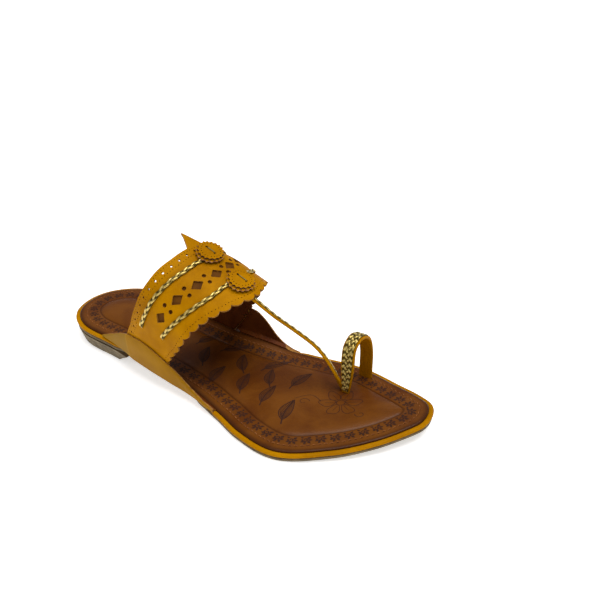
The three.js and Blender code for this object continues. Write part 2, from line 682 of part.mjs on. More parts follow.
const strapFace = STRAP_THICK / 2 + GAP;
const strapTop = strapFace + STRAP_BRAID_THICK;
const ringFace = RING_THICK / 2 + GAP;
const ringTop = ringFace + RING_BRAID_THICK;
addPiece('strap_braid', strapStrip(STRAP_BRAID_SPAN, STRAP_BRAID_WIDE, strapFace, strapTop), GOLD, 0.35, 0.6);
addPiece('ring_braid', ringStrip(RING_BRAID_SPAN, RING_BRAID_WIDE, ringFace, ringTop), GOLD, 0.35, 0.6);

const BASE_LEVEL = 2 * GAP + BRAID_THICK;
for (const place of ROSETTES) {
  addPiece(`${place.name}_base`, rosetteGeometry(place, ROSETTE_RADIUS, BASE_LEVEL, 0), MUSTARD, 0.45);
  const topLevel = BASE_LEVEL + ROSETTE_THICK + GAP;
  addPiece(`${place.name}_top`, rosetteGeometry(place, ROSETTE_TOP_RADIUS, topLevel, 1), MUSTARD, 0.45);
}

export default sandal;
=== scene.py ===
import math

import bmesh
import bpy
import numpy as np
from mathutils import Matrix, Vector
from mathutils.geometry import delaunay_2d_cdt


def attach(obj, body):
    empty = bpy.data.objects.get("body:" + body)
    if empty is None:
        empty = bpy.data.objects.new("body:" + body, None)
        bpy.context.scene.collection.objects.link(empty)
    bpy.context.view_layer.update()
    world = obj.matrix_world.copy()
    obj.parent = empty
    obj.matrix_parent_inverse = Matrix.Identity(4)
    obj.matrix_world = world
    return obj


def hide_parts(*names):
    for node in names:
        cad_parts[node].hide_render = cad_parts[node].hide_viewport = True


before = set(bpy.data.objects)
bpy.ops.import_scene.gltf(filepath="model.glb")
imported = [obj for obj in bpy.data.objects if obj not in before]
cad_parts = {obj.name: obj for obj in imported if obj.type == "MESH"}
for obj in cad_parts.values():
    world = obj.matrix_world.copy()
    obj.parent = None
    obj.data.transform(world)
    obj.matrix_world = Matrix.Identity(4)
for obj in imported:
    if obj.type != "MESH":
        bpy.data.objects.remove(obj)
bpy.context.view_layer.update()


# Room and camera. The sandal stands on a plain white floor under wide soft lights, and is looked
# down on from the outer side of its toe. The camera's place and lens were fitted to the sole.
CAMERA_PLACE = Vector((0.2718, -0.2890, 0.2669))
CAMERA_AIM = Vector((-0.0076, 0.0861, 0.010))
CAMERA_ROLL = math.radians(-2.21)
CAMERA = {"lens": 47.37, "sensor_width": 36.0, "clip_start": 0.01}
FLOOR_HALF = 3.0
FLOOR_WHITE = (0.93, 0.93, 0.93, 1.0)
FLOOR_FINISH = {
    "Base Color": FLOOR_WHITE,
    "Roughness": 0.9,
    "Specular IOR Level": 0.0,
    "Emission Color": FLOOR_WHITE,
    "Emission Strength": 0.6,
}
ROOM_LIGHT = {"Color": (1.0, 1.0, 1.0, 1.0), "Strength": 0.2}
SOFT_LIGHTS = (
    {"name": "overhead", "from": (0.2, 0.1, 1.0), "spread": 50, "power": 2.6},
    {"name": "window", "from": (-0.2, -0.9, 1.0), "spread": 40, "power": 0.4},
)


def in_scene(name, data):
    """A new object in the scene from its data: a mesh, a camera or a light."""
    thing = bpy.data.objects.new(name, data)
    bpy.context.scene.collection.objects.link(thing)
    return thing


def set_inputs(node, values):
    for key, value in values.items():
        node.inputs[key].default_value = value


back = (CAMERA_PLACE - CAMERA_AIM).normalized()
level_right = Vector((-back.y, back.x, 0.0)).normalized()
level_up = back.cross(level_right)
right = level_right * math.cos(CAMERA_ROLL) + level_up * math.sin(CAMERA_ROLL)
up = level_up * math.cos(CAMERA_ROLL) - level_right * math.sin(CAMERA_ROLL)
camera = in_scene("camera", bpy.data.cameras.new("camera"))
camera.matrix_world = Matrix.Translation(CAMERA_PLACE) @ Matrix((right, up, back)).transposed().to_4x4()
for key, value in CAMERA.items():
    setattr(camera.data, key, value)
bpy.context.scene.camera = camera
bpy.context.scene.view_settings.view_transform = "Standard"

room = bpy.data.worlds.new("room")
room.use_nodes = True
set_inputs(room.node_tree.nodes["Background"], ROOM_LIGHT)
bpy.context.scene.world = room
for row in SOFT_LIGHTS:
    lamp = in_scene(row["name"], bpy.data.lights.new(row["name"], "SUN"))
    lamp.data.angle = math.radians(row["spread"])
    lamp.data.energy = row["power"]
    lamp.rotation_euler = (-Vector(row["from"])).to_track_quat("-Z", "Y").to_euler()

floor_mesh = bpy.data.meshes.new("floor")
corners = [(sx * FLOOR_HALF, sy * FLOOR_HALF, 0.0) for sx, sy in ((-1, -1), (1, -1), (1, 1), (-1, 1))]
floor_mesh.from_pydata(corners, [], [(0, 1, 2, 3)])
floor_paint = bpy.data.materials.new("floor_paint")
floor_paint.use_nodes = True
set_inputs(floor_paint.node_tree.nodes["Principled BSDF"], FLOOR_FINISH)
floor_mesh.materials.append(floor_paint)
floor = in_scene("floor", floor_mesh)


# Outsole. A sheet of grey-brown rubber from heel to toe, hollowed at the waist and sprung at the
# toe, stands out a little past the footbed all round. Sizes are in millimetres along the last.
MM = 0.001
LAST_ORIGIN = np.array((-126.5, 6.6, 0.0))
HEEL_BACK = 3.0
TOE_TIP = 250.0
BALL_WIDTH = 90.5
SOLE_STACK = 5.2
GAP = 0.3
ARCH_LIFT_REACH = 1.2
OUTSOLE_THICK = 2.0
OUTSOLE_RIM = 2.0
OUTSOLE_LIP = {
    "out": (-0.1, 0.45, 0.75, 0.8, 0.8, 0.65, 0.3),
    "rise": (0.0, 0.18, 0.55, 0.9, 1.45, 1.8, 2.0),
}
LIP_GROWTH = {"most": 1.5, "heel_to": 66.0, "toe_from": 126.0, "ramp": 8.0}
WAIST = {"tuck": 4.0, "from": 70.0, "to": 122.0, "ramp": 14.0}
OUTLINE_POINTS = 480
NORMAL_STEP = 0.012
MIDDLE_FROM = 34.0
MIDDLE_TO = 214.0
RING_LIMIT = 15.4
CREASE = 38
MERGE_DISTANCE = 1e-7
SOLE = {
    "along": (0.012, 0.03, 0.10, 0.22, 0.38, 0.52, 0.60, 0.68, 0.78, 0.88, 0.95, 0.985, 1.0),
    "lateral": (-0.017, 0.154, 0.287, 0.322, 0.37, 0.393, 0.452, 0.527, 0.552, 0.388, 0.191, 0.038, -0.09),
    "medial": (0.017, 0.177, 0.318, 0.32, 0.252, 0.29, 0.33, 0.38, 0.413, 0.352, 0.288, 0.226, 0.09),
    "top": (14.5, 14.5, 14.5, 14.5, 11.4, 6.5, 5.2, 5.2, 5.2, 6.7, 8.9, 10.2, 10.5),
    "lift": (0.0, 0.0, 0.0, 0.0, 2.4, 2.8, 1.2, 0.0, 0.0, 0.0, 0.0, 0.0, 0.0),
}


def table_curve(keys, values, rounded=False):
    """A cubic through a table's rows, with the mean slope at each row where it is rounded."""
    keys = np.array(keys, float)
    values = np.array(values, float)
    slope = np.diff(values) / np.diff(keys)
    before, after = slope[:-1], slope[1:]
    same_way = before * after > 0
    level = np.where(same_way, 2 * before * after / np.where(same_way, before + after, 1), 0)
    inner = (before + after) / 2 if rounded else level
    tangent = np.concatenate([slope[:1], inner, slope[-1:]])

    def curve(at):
        at = np.clip(np.asarray(at, float), keys[0], keys[-1])
        i = np.clip(np.searchsorted(keys, at, side="right") - 1, 0, len(keys) - 2)
        span = keys[i + 1] - keys[i]
        t = (at - keys[i]) / span
        rest = 1 - t
        ends = rest * rest * (1 + 2 * t) * values[i] + t * t * (3 - 2 * t) * values[i + 1]
        return ends + span * t * rest * (rest * tangent[i] - t * tangent[i + 1])

    return curve


def turn_at(x):
    share = (np.asarray(x, float) - HEEL_BACK) / (TOE_TIP - HEEL_BACK)
    return np.arccos(1 - 2 * np.clip(share, 0, 1)) / math.pi


sole_turn = turn_at(np.array(SOLE["along"]) * TOE_TIP)
lateral_curve = table_curve(sole_turn, SOLE["lateral"], rounded=True)
medial_curve = table_curve(sole_turn, SOLE["medial"], rounded=True)
top_curve = table_curve(SOLE["along"], SOLE["top"])
lift_curve = table_curve(SOLE["along"], SOLE["lift"])


def half_width(side, x):
    turn = turn_at(x)
    return BALL_WIDTH * np.where(np.asarray(side) < 0, lateral_curve(turn), medial_curve(turn))


def bed_height(x, y):
    along = np.asarray(x) / TOE_TIP
    share = np.clip(y / np.maximum(half_width(1, x), 1), 0, ARCH_LIFT_REACH)
    return top_curve(along) + lift_curve(along) * share**2


def sole_bottom(x, y):
    return np.maximum(bed_height(x, y) - SOLE_STACK, 0)


def unit(vectors):
    return vectors / np.linalg.norm(vectors, axis=-1, keepdims=True)


def edge_line(edge):
    """Points of the footbed's outline: 0 at the heel, 1 at the toe and 2 at the heel again."""
    edge = np.mod(edge, 2)
    side = np.where(edge < 1, -1, 1)
    turn = np.where(edge < 1, edge, 2 - edge)
    x = HEEL_BACK + (TOE_TIP - HEEL_BACK) * (1 - np.cos(math.pi * turn)) / 2
    return np.stack([x, side * half_width(side, x)], axis=-1)


def edge_normal(edge):
    along = unit(edge_line(edge + NORMAL_STEP) - edge_line(edge - NORMAL_STEP))
    return np.stack([along[..., 1], -along[..., 0]], axis=-1)


def ramp(distance, length):
    share = np.clip(distance / length, 0, 1)
    return share * share * (3 - 2 * share)


outline_edge = np.arange(OUTLINE_POINTS) * 2 / OUTLINE_POINTS
outline = edge_line(outline_edge)
outline_out = edge_normal(outline_edge)
middle_x = np.clip(outline[:, 0], MIDDLE_FROM, MIDDLE_TO)
middle = np.column_stack([middle_x, (half_width(1, middle_x) - half_width(-1, middle_x)) / 2])
waist_tuck = WAIST["tuck"] * ramp(outline[:, 0] - WAIST["from"], WAIST["ramp"])
waist_tuck *= ramp(WAIST["to"] - outline[:, 0], WAIST["ramp"])
lip_growth = ramp(LIP_GROWTH["heel_to"] - outline[:, 0], LIP_GROWTH["ramp"])
lip_growth += ramp(outline[:, 0] - LIP_GROWTH["toe_from"], LIP_GROWTH["ramp"])
lip_growth *= LIP_GROWTH["most"]


def sole_loop(inset, height, rise=0.0, inward=0.0):
    """A loop of points round the sole, inset from its outline and then drawn in to the middle."""
    inset = np.broadcast_to(inset, len(outline))[:, None]
    flat = (outline - outline_out * inset) * (1 - inward) + middle * inward
    return np.column_stack([flat, height(flat[:, 0], flat[:, 1]) + rise])


def ring_faces(rings, count, capped=False):
    """Faces between rings of points that follow one another, and over both ends if capped."""
    faces = []
    for r in range(rings - 1):
        for k in range(count):
            a, b = r * count + k, r * count + (k + 1) % count
            faces.append((a, b, b + count, a + count))
    if capped:
        faces.append(tuple(range(count))[::-1])
        faces.append(tuple(range((rings - 1) * count, rings * count)))
    return faces


def loop_solid(loops):
    """Points and faces of a closed solid: its first and last loops are drawn in to its middle."""
    return np.concatenate(loops), ring_faces(len(loops), len(loops[0]))


def in_part(points):
    """Points in millimetres from the back of the heel, as metres in the part's frame."""
    return (np.asarray(points) + LAST_ORIGIN) * MM


def meshed(name, points, edges=(), faces=(), marks=None):
    """A mesh from points in metres. Its marks are values that the points carry for a finish."""
    mesh = bpy.data.meshes.new(name)
    mesh.from_pydata(np.asarray(points).tolist(), list(edges), list(faces))
    for key, values in (marks or {}).items():
        values = np.asarray(values, np.float32)
        kind, field = ("FLOAT", "value") if values.ndim == 1 else ("FLOAT_VECTOR", "vector")
        mesh.attributes.new(key, kind, "POINT").data.foreach_set(field, values.ravel())
    return mesh


def finished(name, mesh, crease):
    """A piece of the sandal from its mesh: smooth but for its creases, riding on the part."""
    shape = bmesh.new()
    shape.from_mesh(mesh)
    bmesh.ops.remove_doubles(shape, verts=shape.verts, dist=MERGE_DISTANCE)
    shape.to_mesh(mesh)
    shape.free()
    mesh.shade_smooth()
    mesh.set_sharp_from_angle(angle=math.radians(crease))
    piece = in_scene(name, mesh)
    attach(piece, "root")
    return piece


def made(name, points, faces, slot, materials, kinds=None, crease=CREASE, marks=None):
    """A piece from points in millimetres, with a kind for each face: which material it has."""
    mesh = meshed(name, in_part(points), faces=faces, marks=marks)
    for material in materials:
        mesh.materials.append(material)
    if kinds is not None:
        mesh.polygons.foreach_set("material_index", np.asarray(kinds, np.int32))
    return finished(name, mesh, crease)


class Signal:
    """An output of a node. Arithmetic on it adds a Math node, and node() adds any other."""

    def __init__(self, tree, out=None):
        self.tree = tree
        self.out = out

    def node(self, kind, settings=None, inputs=None, output=0):
        new = self.tree.nodes.new(kind)
        for key, value in (settings or {}).items():
            setattr(new, key, value)
        for key, value in (inputs or {}).items():
            if isinstance(value, Signal):
                self.tree.links.new(value.out, new.inputs[key])
            else:
                new.inputs[key].default_value = value
        return Signal(self.tree, new.outputs[output])

    def maths(self, operation, other):
        return self.node("ShaderNodeMath", {"operation": operation}, {0: self, 1: other})

    def __add__(self, other):
        return self.maths("ADD", other)

    def __sub__(self, other):
        return self.maths("SUBTRACT", other)

    def __mul__(self, other):
        return self.maths("MULTIPLY", other)

    def clamped(self, low, high, to_low=0.0, to_high=1.0):
        spans = {"Value": self, "From Min": low, "From Max": high, "To Min": to_low, "To Max": to_high}
        return self.node("ShaderNodeMapRange", {"interpolation_type": "SMOOTHSTEP"}, spans)

    def mixed(self, first, second):
        """First where this is 0 and second where it is 1: colours or other signals."""
        return self.node("ShaderNodeMix", {"data_type": "RGBA"}, {0: self, 6: first, 7: second}, 2)


def srgb(red, green, blue):
    """A colour seen as 0 to 255, as the shader's own linear numbers."""
    parts = [c / 255 for c in (red, green, blue)]
    return (*[c / 12.92 if c <= 0.04045 else ((c + 0.055) / 1.055) ** 2.4 for c in parts], 1.0)


def surface(name, colour, roughness, bump=None, fixed=None):
    """A material: colour, roughness and bump are functions of its start signal and coordinates."""
    material = bpy.data.materials.new(name)
    material.use_nodes = True
    tree = material.node_tree
    shader = tree.nodes["Principled BSDF"]
    start = Signal(tree)
    place = start.node("ShaderNodeTexCoord", output="Object")
    tree.links.new(colour(start, place).out, shader.inputs["Base Color"])
    tree.links.new(roughness(start, place).out, shader.inputs["Roughness"])
    if bump is not None:
        height, distance = bump(start, place)
        relief = {"Height": height, "Distance": distance, "Strength": 1.0}
        tree.links.new(start.node("ShaderNodeBump", None, relief).out, shader.inputs["Normal"])
    set_inputs(shader, fixed or {})
    return material


def noise(start, place, size, detail=3.0, roughness=0.55, distortion=0.0):
    """Cloudy noise of about 0 to 1, with features of a size in millimetres."""
    settings = {"Vector": place, "Scale": 1 / (size * MM), "Detail": detail, "Roughness": roughness}
    settings["Distortion"] = distortion
    return start.node("ShaderNodeTexNoise", None, settings)


def pebbles(start, place, size):
    """The rounded cells of a leather's grain, of a size in millimetres."""
    cells = {"Vector": place, "Scale": 1 / (size * MM), "Smoothness": 0.4}
    return start.node("ShaderNodeTexVoronoi", {"feature": "SMOOTH_F1"}, cells)


def cloudy(size, detail, dark, light, low=0.3, high=0.7):
    """A colour that drifts from dark to light in clouds of a size in millimetres."""
    return lambda s, p: noise(s, p, size, detail).clamped(low, high).mixed(dark, light)


def matt(size, least, spread=0.2, detail=3.0):
    """A roughness that rises from its least by a spread, in clouds of a size in millimetres."""
    return lambda s, p: noise(s, p, size, detail) * spread + least


rubber = surface(
    "outsole_rubber",
    cloudy(6.0, 5.0, srgb(92, 78, 54), srgb(122, 106, 78)),
    matt(2.0, 0.6),
    lambda s, p: (noise(s, p, 0.6, 4.0) + noise(s, p, 3.0), 0.00012),
    {"Specular IOR Level": 0.3},
)
outsole_loops = [sole_loop(RING_LIMIT, sole_bottom, inward=1.0)]
outsole_loops.append(sole_loop(waist_tuck + OUTSOLE_RIM, sole_bottom))
for lip, rise in zip(OUTSOLE_LIP["out"], OUTSOLE_LIP["rise"]):
    tuck = waist_tuck * (1 - rise / OUTSOLE_THICK)
    outsole_loops.append(sole_loop(tuck - lip_growth - lip, sole_bottom, rise))
outsole_loops.append(sole_loop(OUTSOLE_RIM, sole_bottom, OUTSOLE_THICK))
outsole_loops.append(sole_loop(RING_LIMIT, sole_bottom, OUTSOLE_THICK, 1.0))
outsole = made("outsole_sheet", *loop_solid(outsole_loops), "outsole", [rubber])
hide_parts("outsole")


# Heel block. A low lift of stacked rubber, glued under the back of the sole. It narrows to the
# floor and its front slants back under the waist, with two faint lines where its layers meet.
HEEL_FRONT = {"top": 70.0, "floor": 57.0}
HEEL_REAR = {"top": 3.9, "floor": 3.4}
HEEL_GROWTH = {"top": 2.6, "floor": -0.2}
HEEL_BACK_REACH = 12.0
HEEL_MIDDLE = np.array((32.0, 0.0))
HEEL_LAYER_LINES = (0.36, 0.72)
HEEL_LINE_STEPS = (-0.05, -0.02, 0.0, 0.02, 0.05)
HEEL_LINE_DEPTH = 0.22
HEEL_ROUND = 0.6
HEEL_ROUND_SHARE = 0.06
HEEL_SIDE_POINTS = 70
HEEL_FACE_POINTS = 22


def heel_top(x, y):
    return sole_bottom(x, y) - GAP


def heel_loop(share, shrink):
    """A loop round the heel block at a share of its height: back and sides, then its front."""
    sizes = (HEEL_GROWTH, HEEL_REAR, HEEL_FRONT)
    growth, rear, front = (row["floor"] + (row["top"] - row["floor"]) * share for row in sizes)
    growth -= shrink
    front -= shrink
    u = np.linspace(0, 1, HEEL_SIDE_POINTS)
    x = rear + (front - rear) * (1 - np.cos(math.pi / 2 * u))
    lateral = np.column_stack([x, -half_width(-1, x) - growth])
    medial = np.column_stack([x, half_width(1, x) + growth])
    across = np.linspace(0, 1, HEEL_FACE_POINTS)[1:-1, None]
    face = lateral[-1] * (1 - across) + medial[-1] * across
    flat = np.concatenate([lateral, face, medial[::-1]])
    flat[:, 0] -= max(growth, 0) * np.clip(1 - (flat[:, 0] - HEEL_BACK) / HEEL_BACK_REACH, 0, 1)
    return np.column_stack([flat, heel_top(flat[:, 0], flat[:, 1]) * share])


def heel_cap(rim, height):
    """Two loops that close the block: one half-way in from its rim and one at its middle."""
    loops = []
    for inward in (0.5, 1.0):
        flat = rim[:, :2] * (1 - inward) + HEEL_MIDDLE * inward
        loops.append(np.column_stack([flat, height(flat[:, 0], flat[:, 1])]))
    return loops


heel_rows = [0.0, 0.02, HEEL_ROUND_SHARE, 0.94, 1.0]
heel_rows += [line + step for line in HEEL_LAYER_LINES for step in HEEL_LINE_STEPS]
heel_loops = []
for share in sorted(heel_rows):
    groove = HEEL_LINE_DEPTH if share in HEEL_LAYER_LINES else 0.0
    rounding = HEEL_ROUND * max(1 - share / HEEL_ROUND_SHARE, 0) ** 2
    heel_loops.append(heel_loop(share, groove + rounding))
heel_floor = heel_cap(heel_loops[0], lambda x, y: np.zeros(len(x)))
heel_loops = heel_floor[::-1] + heel_loops + heel_cap(heel_loops[-1], heel_top)
heel = made("heel_lift", *loop_solid(heel_loops), "outsole", [rubber])
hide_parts("heel_block")


# Footbed. An insole board with a thin foam pad, covered in polished brown leather. A pressed
# groove parts its flat border from the padded middle, and its edge and groove carry painted shade.
FOOTBED_THICK = 2.9
GROOVE_INSET = 13.2
FOOTBED_EDGE = {
    "inset": (0.5, -0.2, -0.2, 0.1, 0.6, 1.3, 2.6, 3.9, 4.3, 4.6, 4.9, 5.3,
              7.0, 9.0, 11.0, 12.1, 12.7, 13.2, 13.6, 14.1, 14.7, 15.4),
    "rise": (-2.9, -2.5, -0.8, -0.35, -0.1, 0.0, 0.02, 0.02, -0.06, -0.14, -0.06, 0.02,
             0.04, 0.05, 0.04, 0.0, -0.14, -0.4, -0.2, 0.12, 0.36, 0.56),
}
FOOTBED_PAD = {
    "inward": (0.06, 0.14, 0.24, 0.38, 0.55, 0.75, 1.0),
    "rise": (0.76, 0.98, 1.14, 1.27, 1.35, 1.39, 1.4),
}
FOOTBED_DARK = srgb(86, 42, 8)
FOOTBED_LIGHT = srgb(112, 64, 16)
# Painted shade: this dark brown and the two masks below darken the footbed at its edge and down in its
# groove.
FOOTBED_SHADE = srgb(52, 22, 6)
EDGE_SHADE = {"low": 0.0, "high": 3.2, "to_low": 0.75, "to_high": 0.0}
GROOVE_SHADE = {"low": 0.1, "high": 1.1, "to_low": 0.55, "to_high": 0.0}
BED_MARK = "inset"
UNDERSIDE_INSET = 30.0
PAD_INSET_SPAN = 20.0


def footbed_colour(start, place):
    """Mottled brown, with painted shade along the edge and down in the groove."""
    inset = start.node("ShaderNodeAttribute", {"attribute_name": BED_MARK}, output="Fac")
    mottled = noise(start, place, 34.0, 4.0, 0.6, 0.6).clamped(0.3, 0.72).mixed(FOOTBED_DARK, FOOTBED_LIGHT)
    off_groove = start.node("ShaderNodeMath", {"operation": "ABSOLUTE"}, {0: inset - GROOVE_INSET})
    painted_shade = inset.clamped(**EDGE_SHADE) + off_groove.clamped(**GROOVE_SHADE)
    return painted_shade.mixed(mottled, FOOTBED_SHADE)


def footbed_bump(start, place):
    grain = pebbles(start, place, 0.9) * 0.35
    return grain + noise(start, place, 5.0, 3.0) * 0.8 + noise(start, place, 0.35, 2.0) * 0.25, 0.00012


footbed_leather = surface(
    "footbed_leather",
    footbed_colour,
    matt(9.0, 0.24, 0.22, 4.0),
    footbed_bump,
    {"Specular IOR Level": 0.12, "Coat Roughness": 0.3, "Coat Weight": 0.04},
)
footbed_loops = [sole_loop(RING_LIMIT, bed_height, -FOOTBED_THICK, 1.0)]
loop_insets = [UNDERSIDE_INSET]
for inset, rise in zip(FOOTBED_EDGE["inset"], FOOTBED_EDGE["rise"]):
    footbed_loops.append(sole_loop(inset, bed_height, rise))
    loop_insets.append(inset)
for inward, rise in zip(FOOTBED_PAD["inward"], FOOTBED_PAD["rise"]):
    footbed_loops.append(sole_loop(RING_LIMIT, bed_height, rise, inward))
    loop_insets.append(RING_LIMIT + PAD_INSET_SPAN * inward)
footbed = made(
    "footbed_cover", *loop_solid(footbed_loops), "footbed", [footbed_leather], crease=60,
    marks={BED_MARK: np.repeat(loop_insets, OUTLINE_POINTS)},
)
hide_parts("footbed")


# Border of the footbed. Curled leaves are branded one after another along the border with a hot
# stamp, and one row of orange thread is sewn outside them.
STAMP_PITCH = 7.6
STAMP_INSET = 8.9
STAMP_CURL = {
    "radius": 1.7, "turns": 1.15, "first": 0.9 * math.pi, "centre": (-0.6, 0.5), "widths": (1.0, 0.5),
}
STAMP_PETALS = (
    {"root": (0.7, 1.1), "degrees": 48, "long": 2.5, "wide": 1.5},
    {"root": (0.9, 0.2), "degrees": -4, "long": 2.4, "wide": 1.5},
    {"root": (0.6, -0.7), "degrees": -56, "long": 2.6, "wide": 1.5},
    {"root": (-0.6, -1.2), "degrees": -112, "long": 2.3, "wide": 1.4},
    {"root": (-1.6, -0.8), "degrees": -165, "long": 1.7, "wide": 1.3},
    {"root": (-1.5, 1.8), "degrees": 140, "long": 1.8, "wide": 1.2},
)
CURL_STEPS = 16
CURL_CLOSING = 0.78
PETAL_STEPS = 9
PETAL_SWELL = 0.75
HAIRLINE = 0.05
STITCH = {"inset": 4.6, "pitch": 3.1, "long": 2.1, "thick": 0.42, "arch": 0.9, "sunk": 0.35}
STITCH_END_FULL = 0.55
STITCH_RINGS = 7
STITCH_SIDES = 6
STITCH_LIFT = 0.00016
PRINT_LIFT = 0.00005
PRINT_FROM = 0.06
PRINT_DROP = 0.1
LOOK_AHEAD = 0.2


def new_tree(name, inputs):
    """A geometry tree with named inputs, its first signal and a signal for each input."""
    tree = bpy.data.node_groups.new(name, "GeometryNodeTree")
    tree.interface.new_socket("Geometry", in_out="INPUT", socket_type="NodeSocketGeometry")
    for key, kind in inputs.items():
        tree.interface.new_socket(key, in_out="INPUT", socket_type=kind)
    tree.interface.new_socket("Geometry", in_out="OUTPUT", socket_type="NodeSocketGeometry")
    entry = tree.nodes.new("NodeGroupInput")
    values = {key: Signal(tree, entry.outputs[key]) for key in ("Geometry", *inputs)}
    return tree, Signal(tree), values


def end_tree(tree, start, geometry, material):
    whole = start.node("GeometryNodeRealizeInstances", None, {"Geometry": geometry})
    painted = start.node("GeometryNodeSetMaterial", None, {"Geometry": whole, "Material": material})
    leave = tree.nodes.new("NodeGroupOutput")
    tree.links.new(painted.out, leave.inputs["Geometry"])
    return tree


def named(start, name, kind):
    return start.node("GeometryNodeInputNamedAttribute", {"data_type": kind}, {"Name": name})


def print_tree():
    """Sets a motif on every point, turned and sized by the point, and drops it on the footbed."""
    inputs = {"Motif": "NodeSocketObject", "Bed": "NodeSocketObject"}
    inputs.update({"Lift": "NodeSocketFloat", "Finish": "NodeSocketMaterial"})
    tree, start, values = new_tree("print_on_footbed", inputs)
    motif = start.node("GeometryNodeObjectInfo", None, {"Object": values["Motif"]}, "Geometry")
    bed = start.node("GeometryNodeObjectInfo", None, {"Object": values["Bed"]}, "Geometry")
    euler = start.node("ShaderNodeCombineXYZ", None, {"Z": named(start, "turn", "FLOAT")})
    turned = start.node("FunctionNodeEulerToRotation", None, {"Euler": euler})
    spread = {"Points": values["Geometry"], "Instance": motif, "Rotation": turned}
    spread["Scale"] = named(start, "size", "FLOAT")
    copies = start.node("GeometryNodeInstanceOnPoints", None, spread)
    whole = start.node("GeometryNodeRealizeInstances", None, {"Geometry": copies})
    place = start.node("GeometryNodeInputPosition")
    x, y, z = (start.node("ShaderNodeSeparateXYZ", None, {0: place}, axis) for axis in "XYZ")
    above = start.node("ShaderNodeCombineXYZ", None, {"X": x, "Y": y, "Z": PRINT_FROM})
    ray = {"Target Geometry": bed, "Source Position": above, "Ray Length": PRINT_DROP}
    ray["Ray Direction"] = (0.0, 0.0, -1.0)
    hit = start.node("GeometryNodeRaycast", None, ray, "Hit Position")
    surface_z = start.node("ShaderNodeSeparateXYZ", None, {0: hit}, "Z")
    laid = start.node("ShaderNodeCombineXYZ", None, {"X": x, "Y": y, "Z": surface_z + z + values["Lift"]})
    moved = start.node("GeometryNodeSetPosition", None, {"Geometry": whole, "Position": laid})
    return end_tree(tree, start, moved, values["Finish"])


def grown(name, tree, points, marks, inputs, edges=(), crease=50):
    """A piece that a geometry tree grows on points given in metres, as one plain mesh."""
    base = in_scene(name + "_points", meshed(name + "_points", points, edges, marks=marks))
    modifier = base.modifiers.new("grow", "NODES")
    modifier.node_group = tree
    for item in tree.interface.items_tree:
        if item.in_out == "INPUT" and item.name in inputs:
            modifier[item.identifier] = inputs[item.name]
    evaluated = base.evaluated_get(bpy.context.evaluated_depsgraph_get())
    plain = bpy.data.meshes.new_from_object(evaluated)
    plain.name = name
    bpy.data.objects.remove(base)
    return finished(name, plain, crease)


footbed_print = print_tree()


def printed(name, drawing, places, turns, sizes, lift, finish):
    """A motif laid on the footbed at every place. Its drawing is points in millimetres and faces."""
    motif = in_scene(name + "_motif", meshed(name + "_motif", drawing[0] * MM, faces=drawing[1]))
    points = in_part(np.column_stack([places, np.zeros(len(places))]))
    inputs = {"Motif": motif, "Bed": footbed, "Lift": lift, "Finish": finish}
    grown(name, footbed_print, points, {"turn": turns, "size": sizes}, inputs)
    bpy.data.objects.remove(motif)


def drawn(strokes):
    """One flat drawing of ribbons, each from a line of points and its width at each of them."""
    points, faces, shift = [], [], 0
    for line, widths in strokes:
        along = unit(np.gradient(line, axis=0))
        side = np.column_stack([-along[:, 1], along[:, 0]]) * np.asarray(widths)[:, None] / 2
        n = len(line)
        faces += [(shift + k, shift + k + n, shift + k + n + 1, shift + k + 1) for k in range(n - 1)]
        points += [line + side, line - side]
        shift += 2 * n
    return np.column_stack([np.concatenate(points), np.zeros(shift)]), faces


def curl(radius, turns, first, centre, widths):
    """A stroke that curls in to a centre from its first angle."""
    t = np.linspace(0, 1, CURL_STEPS)
    angle = first + 2 * math.pi * turns * t
    reach = radius * (1 - CURL_CLOSING * t)
    line = np.column_stack([centre[0] + reach * np.cos(angle), centre[1] + reach * np.sin(angle)])
    return line, np.linspace(*widths, CURL_STEPS)


def petal(root, degrees, long, wide):
    """A teardrop stroke: a ribbon as wide as the petal, from its root to its tip."""
    t = np.linspace(0, 1, PETAL_STEPS)
    angle = math.radians(degrees)
    line = np.array(root) + long * t[:, None] * np.array((math.cos(angle), math.sin(angle)))
    return line, np.maximum(wide * np.sin(math.pi * t**PETAL_SWELL), HAIRLINE)


def travelled(line):
    """The distance along a line to each of its points."""
    return np.concatenate([[0], np.cumsum(np.linalg.norm(np.diff(line, axis=0), axis=1))])


def at_distance(at, line, values):
    """Values of a line's points, read off at distances along it."""
    length = travelled(line)
    return np.column_stack([np.interp(at, length, column) for column in np.asarray(values).T])


def spaced(line, pitch):
    """Places at an even pitch round a closed line, and the line's turn at each."""
    line = np.concatenate([line, line[:1]])
    whole = travelled(line)[-1]
    count = int(round(whole / pitch))
    at = (np.arange(count) + 0.5) * whole / count
    places = at_distance(at, line, line)
    along = at_distance(np.minimum(at + LOOK_AHEAD, whole), line, line) - places
    return places, np.arctan2(along[:, 1], along[:, 0])


def stitch_shape(long, thick, arch, sunk):
    """A short thread that rises from the leather and dips back into it: points and faces."""
    t = np.linspace(0, 1, STITCH_RINGS)[:, None]
    angle = 2 * math.pi * np.arange(STITCH_SIDES) / STITCH_SIDES
    bow = np.sin(math.pi * t)
    radius = thick / 2 * (STITCH_END_FULL + (1 - STITCH_END_FULL) * bow)
    z = thick * (arch * bow - sunk) + radius * np.sin(angle)
    x = np.broadcast_to(long * (t - 0.5), z.shape)
    points = np.stack([x, -radius * np.cos(angle), z], axis=-1).reshape(-1, 3)
    return points, ring_faces(STITCH_RINGS, STITCH_SIDES, capped=True)


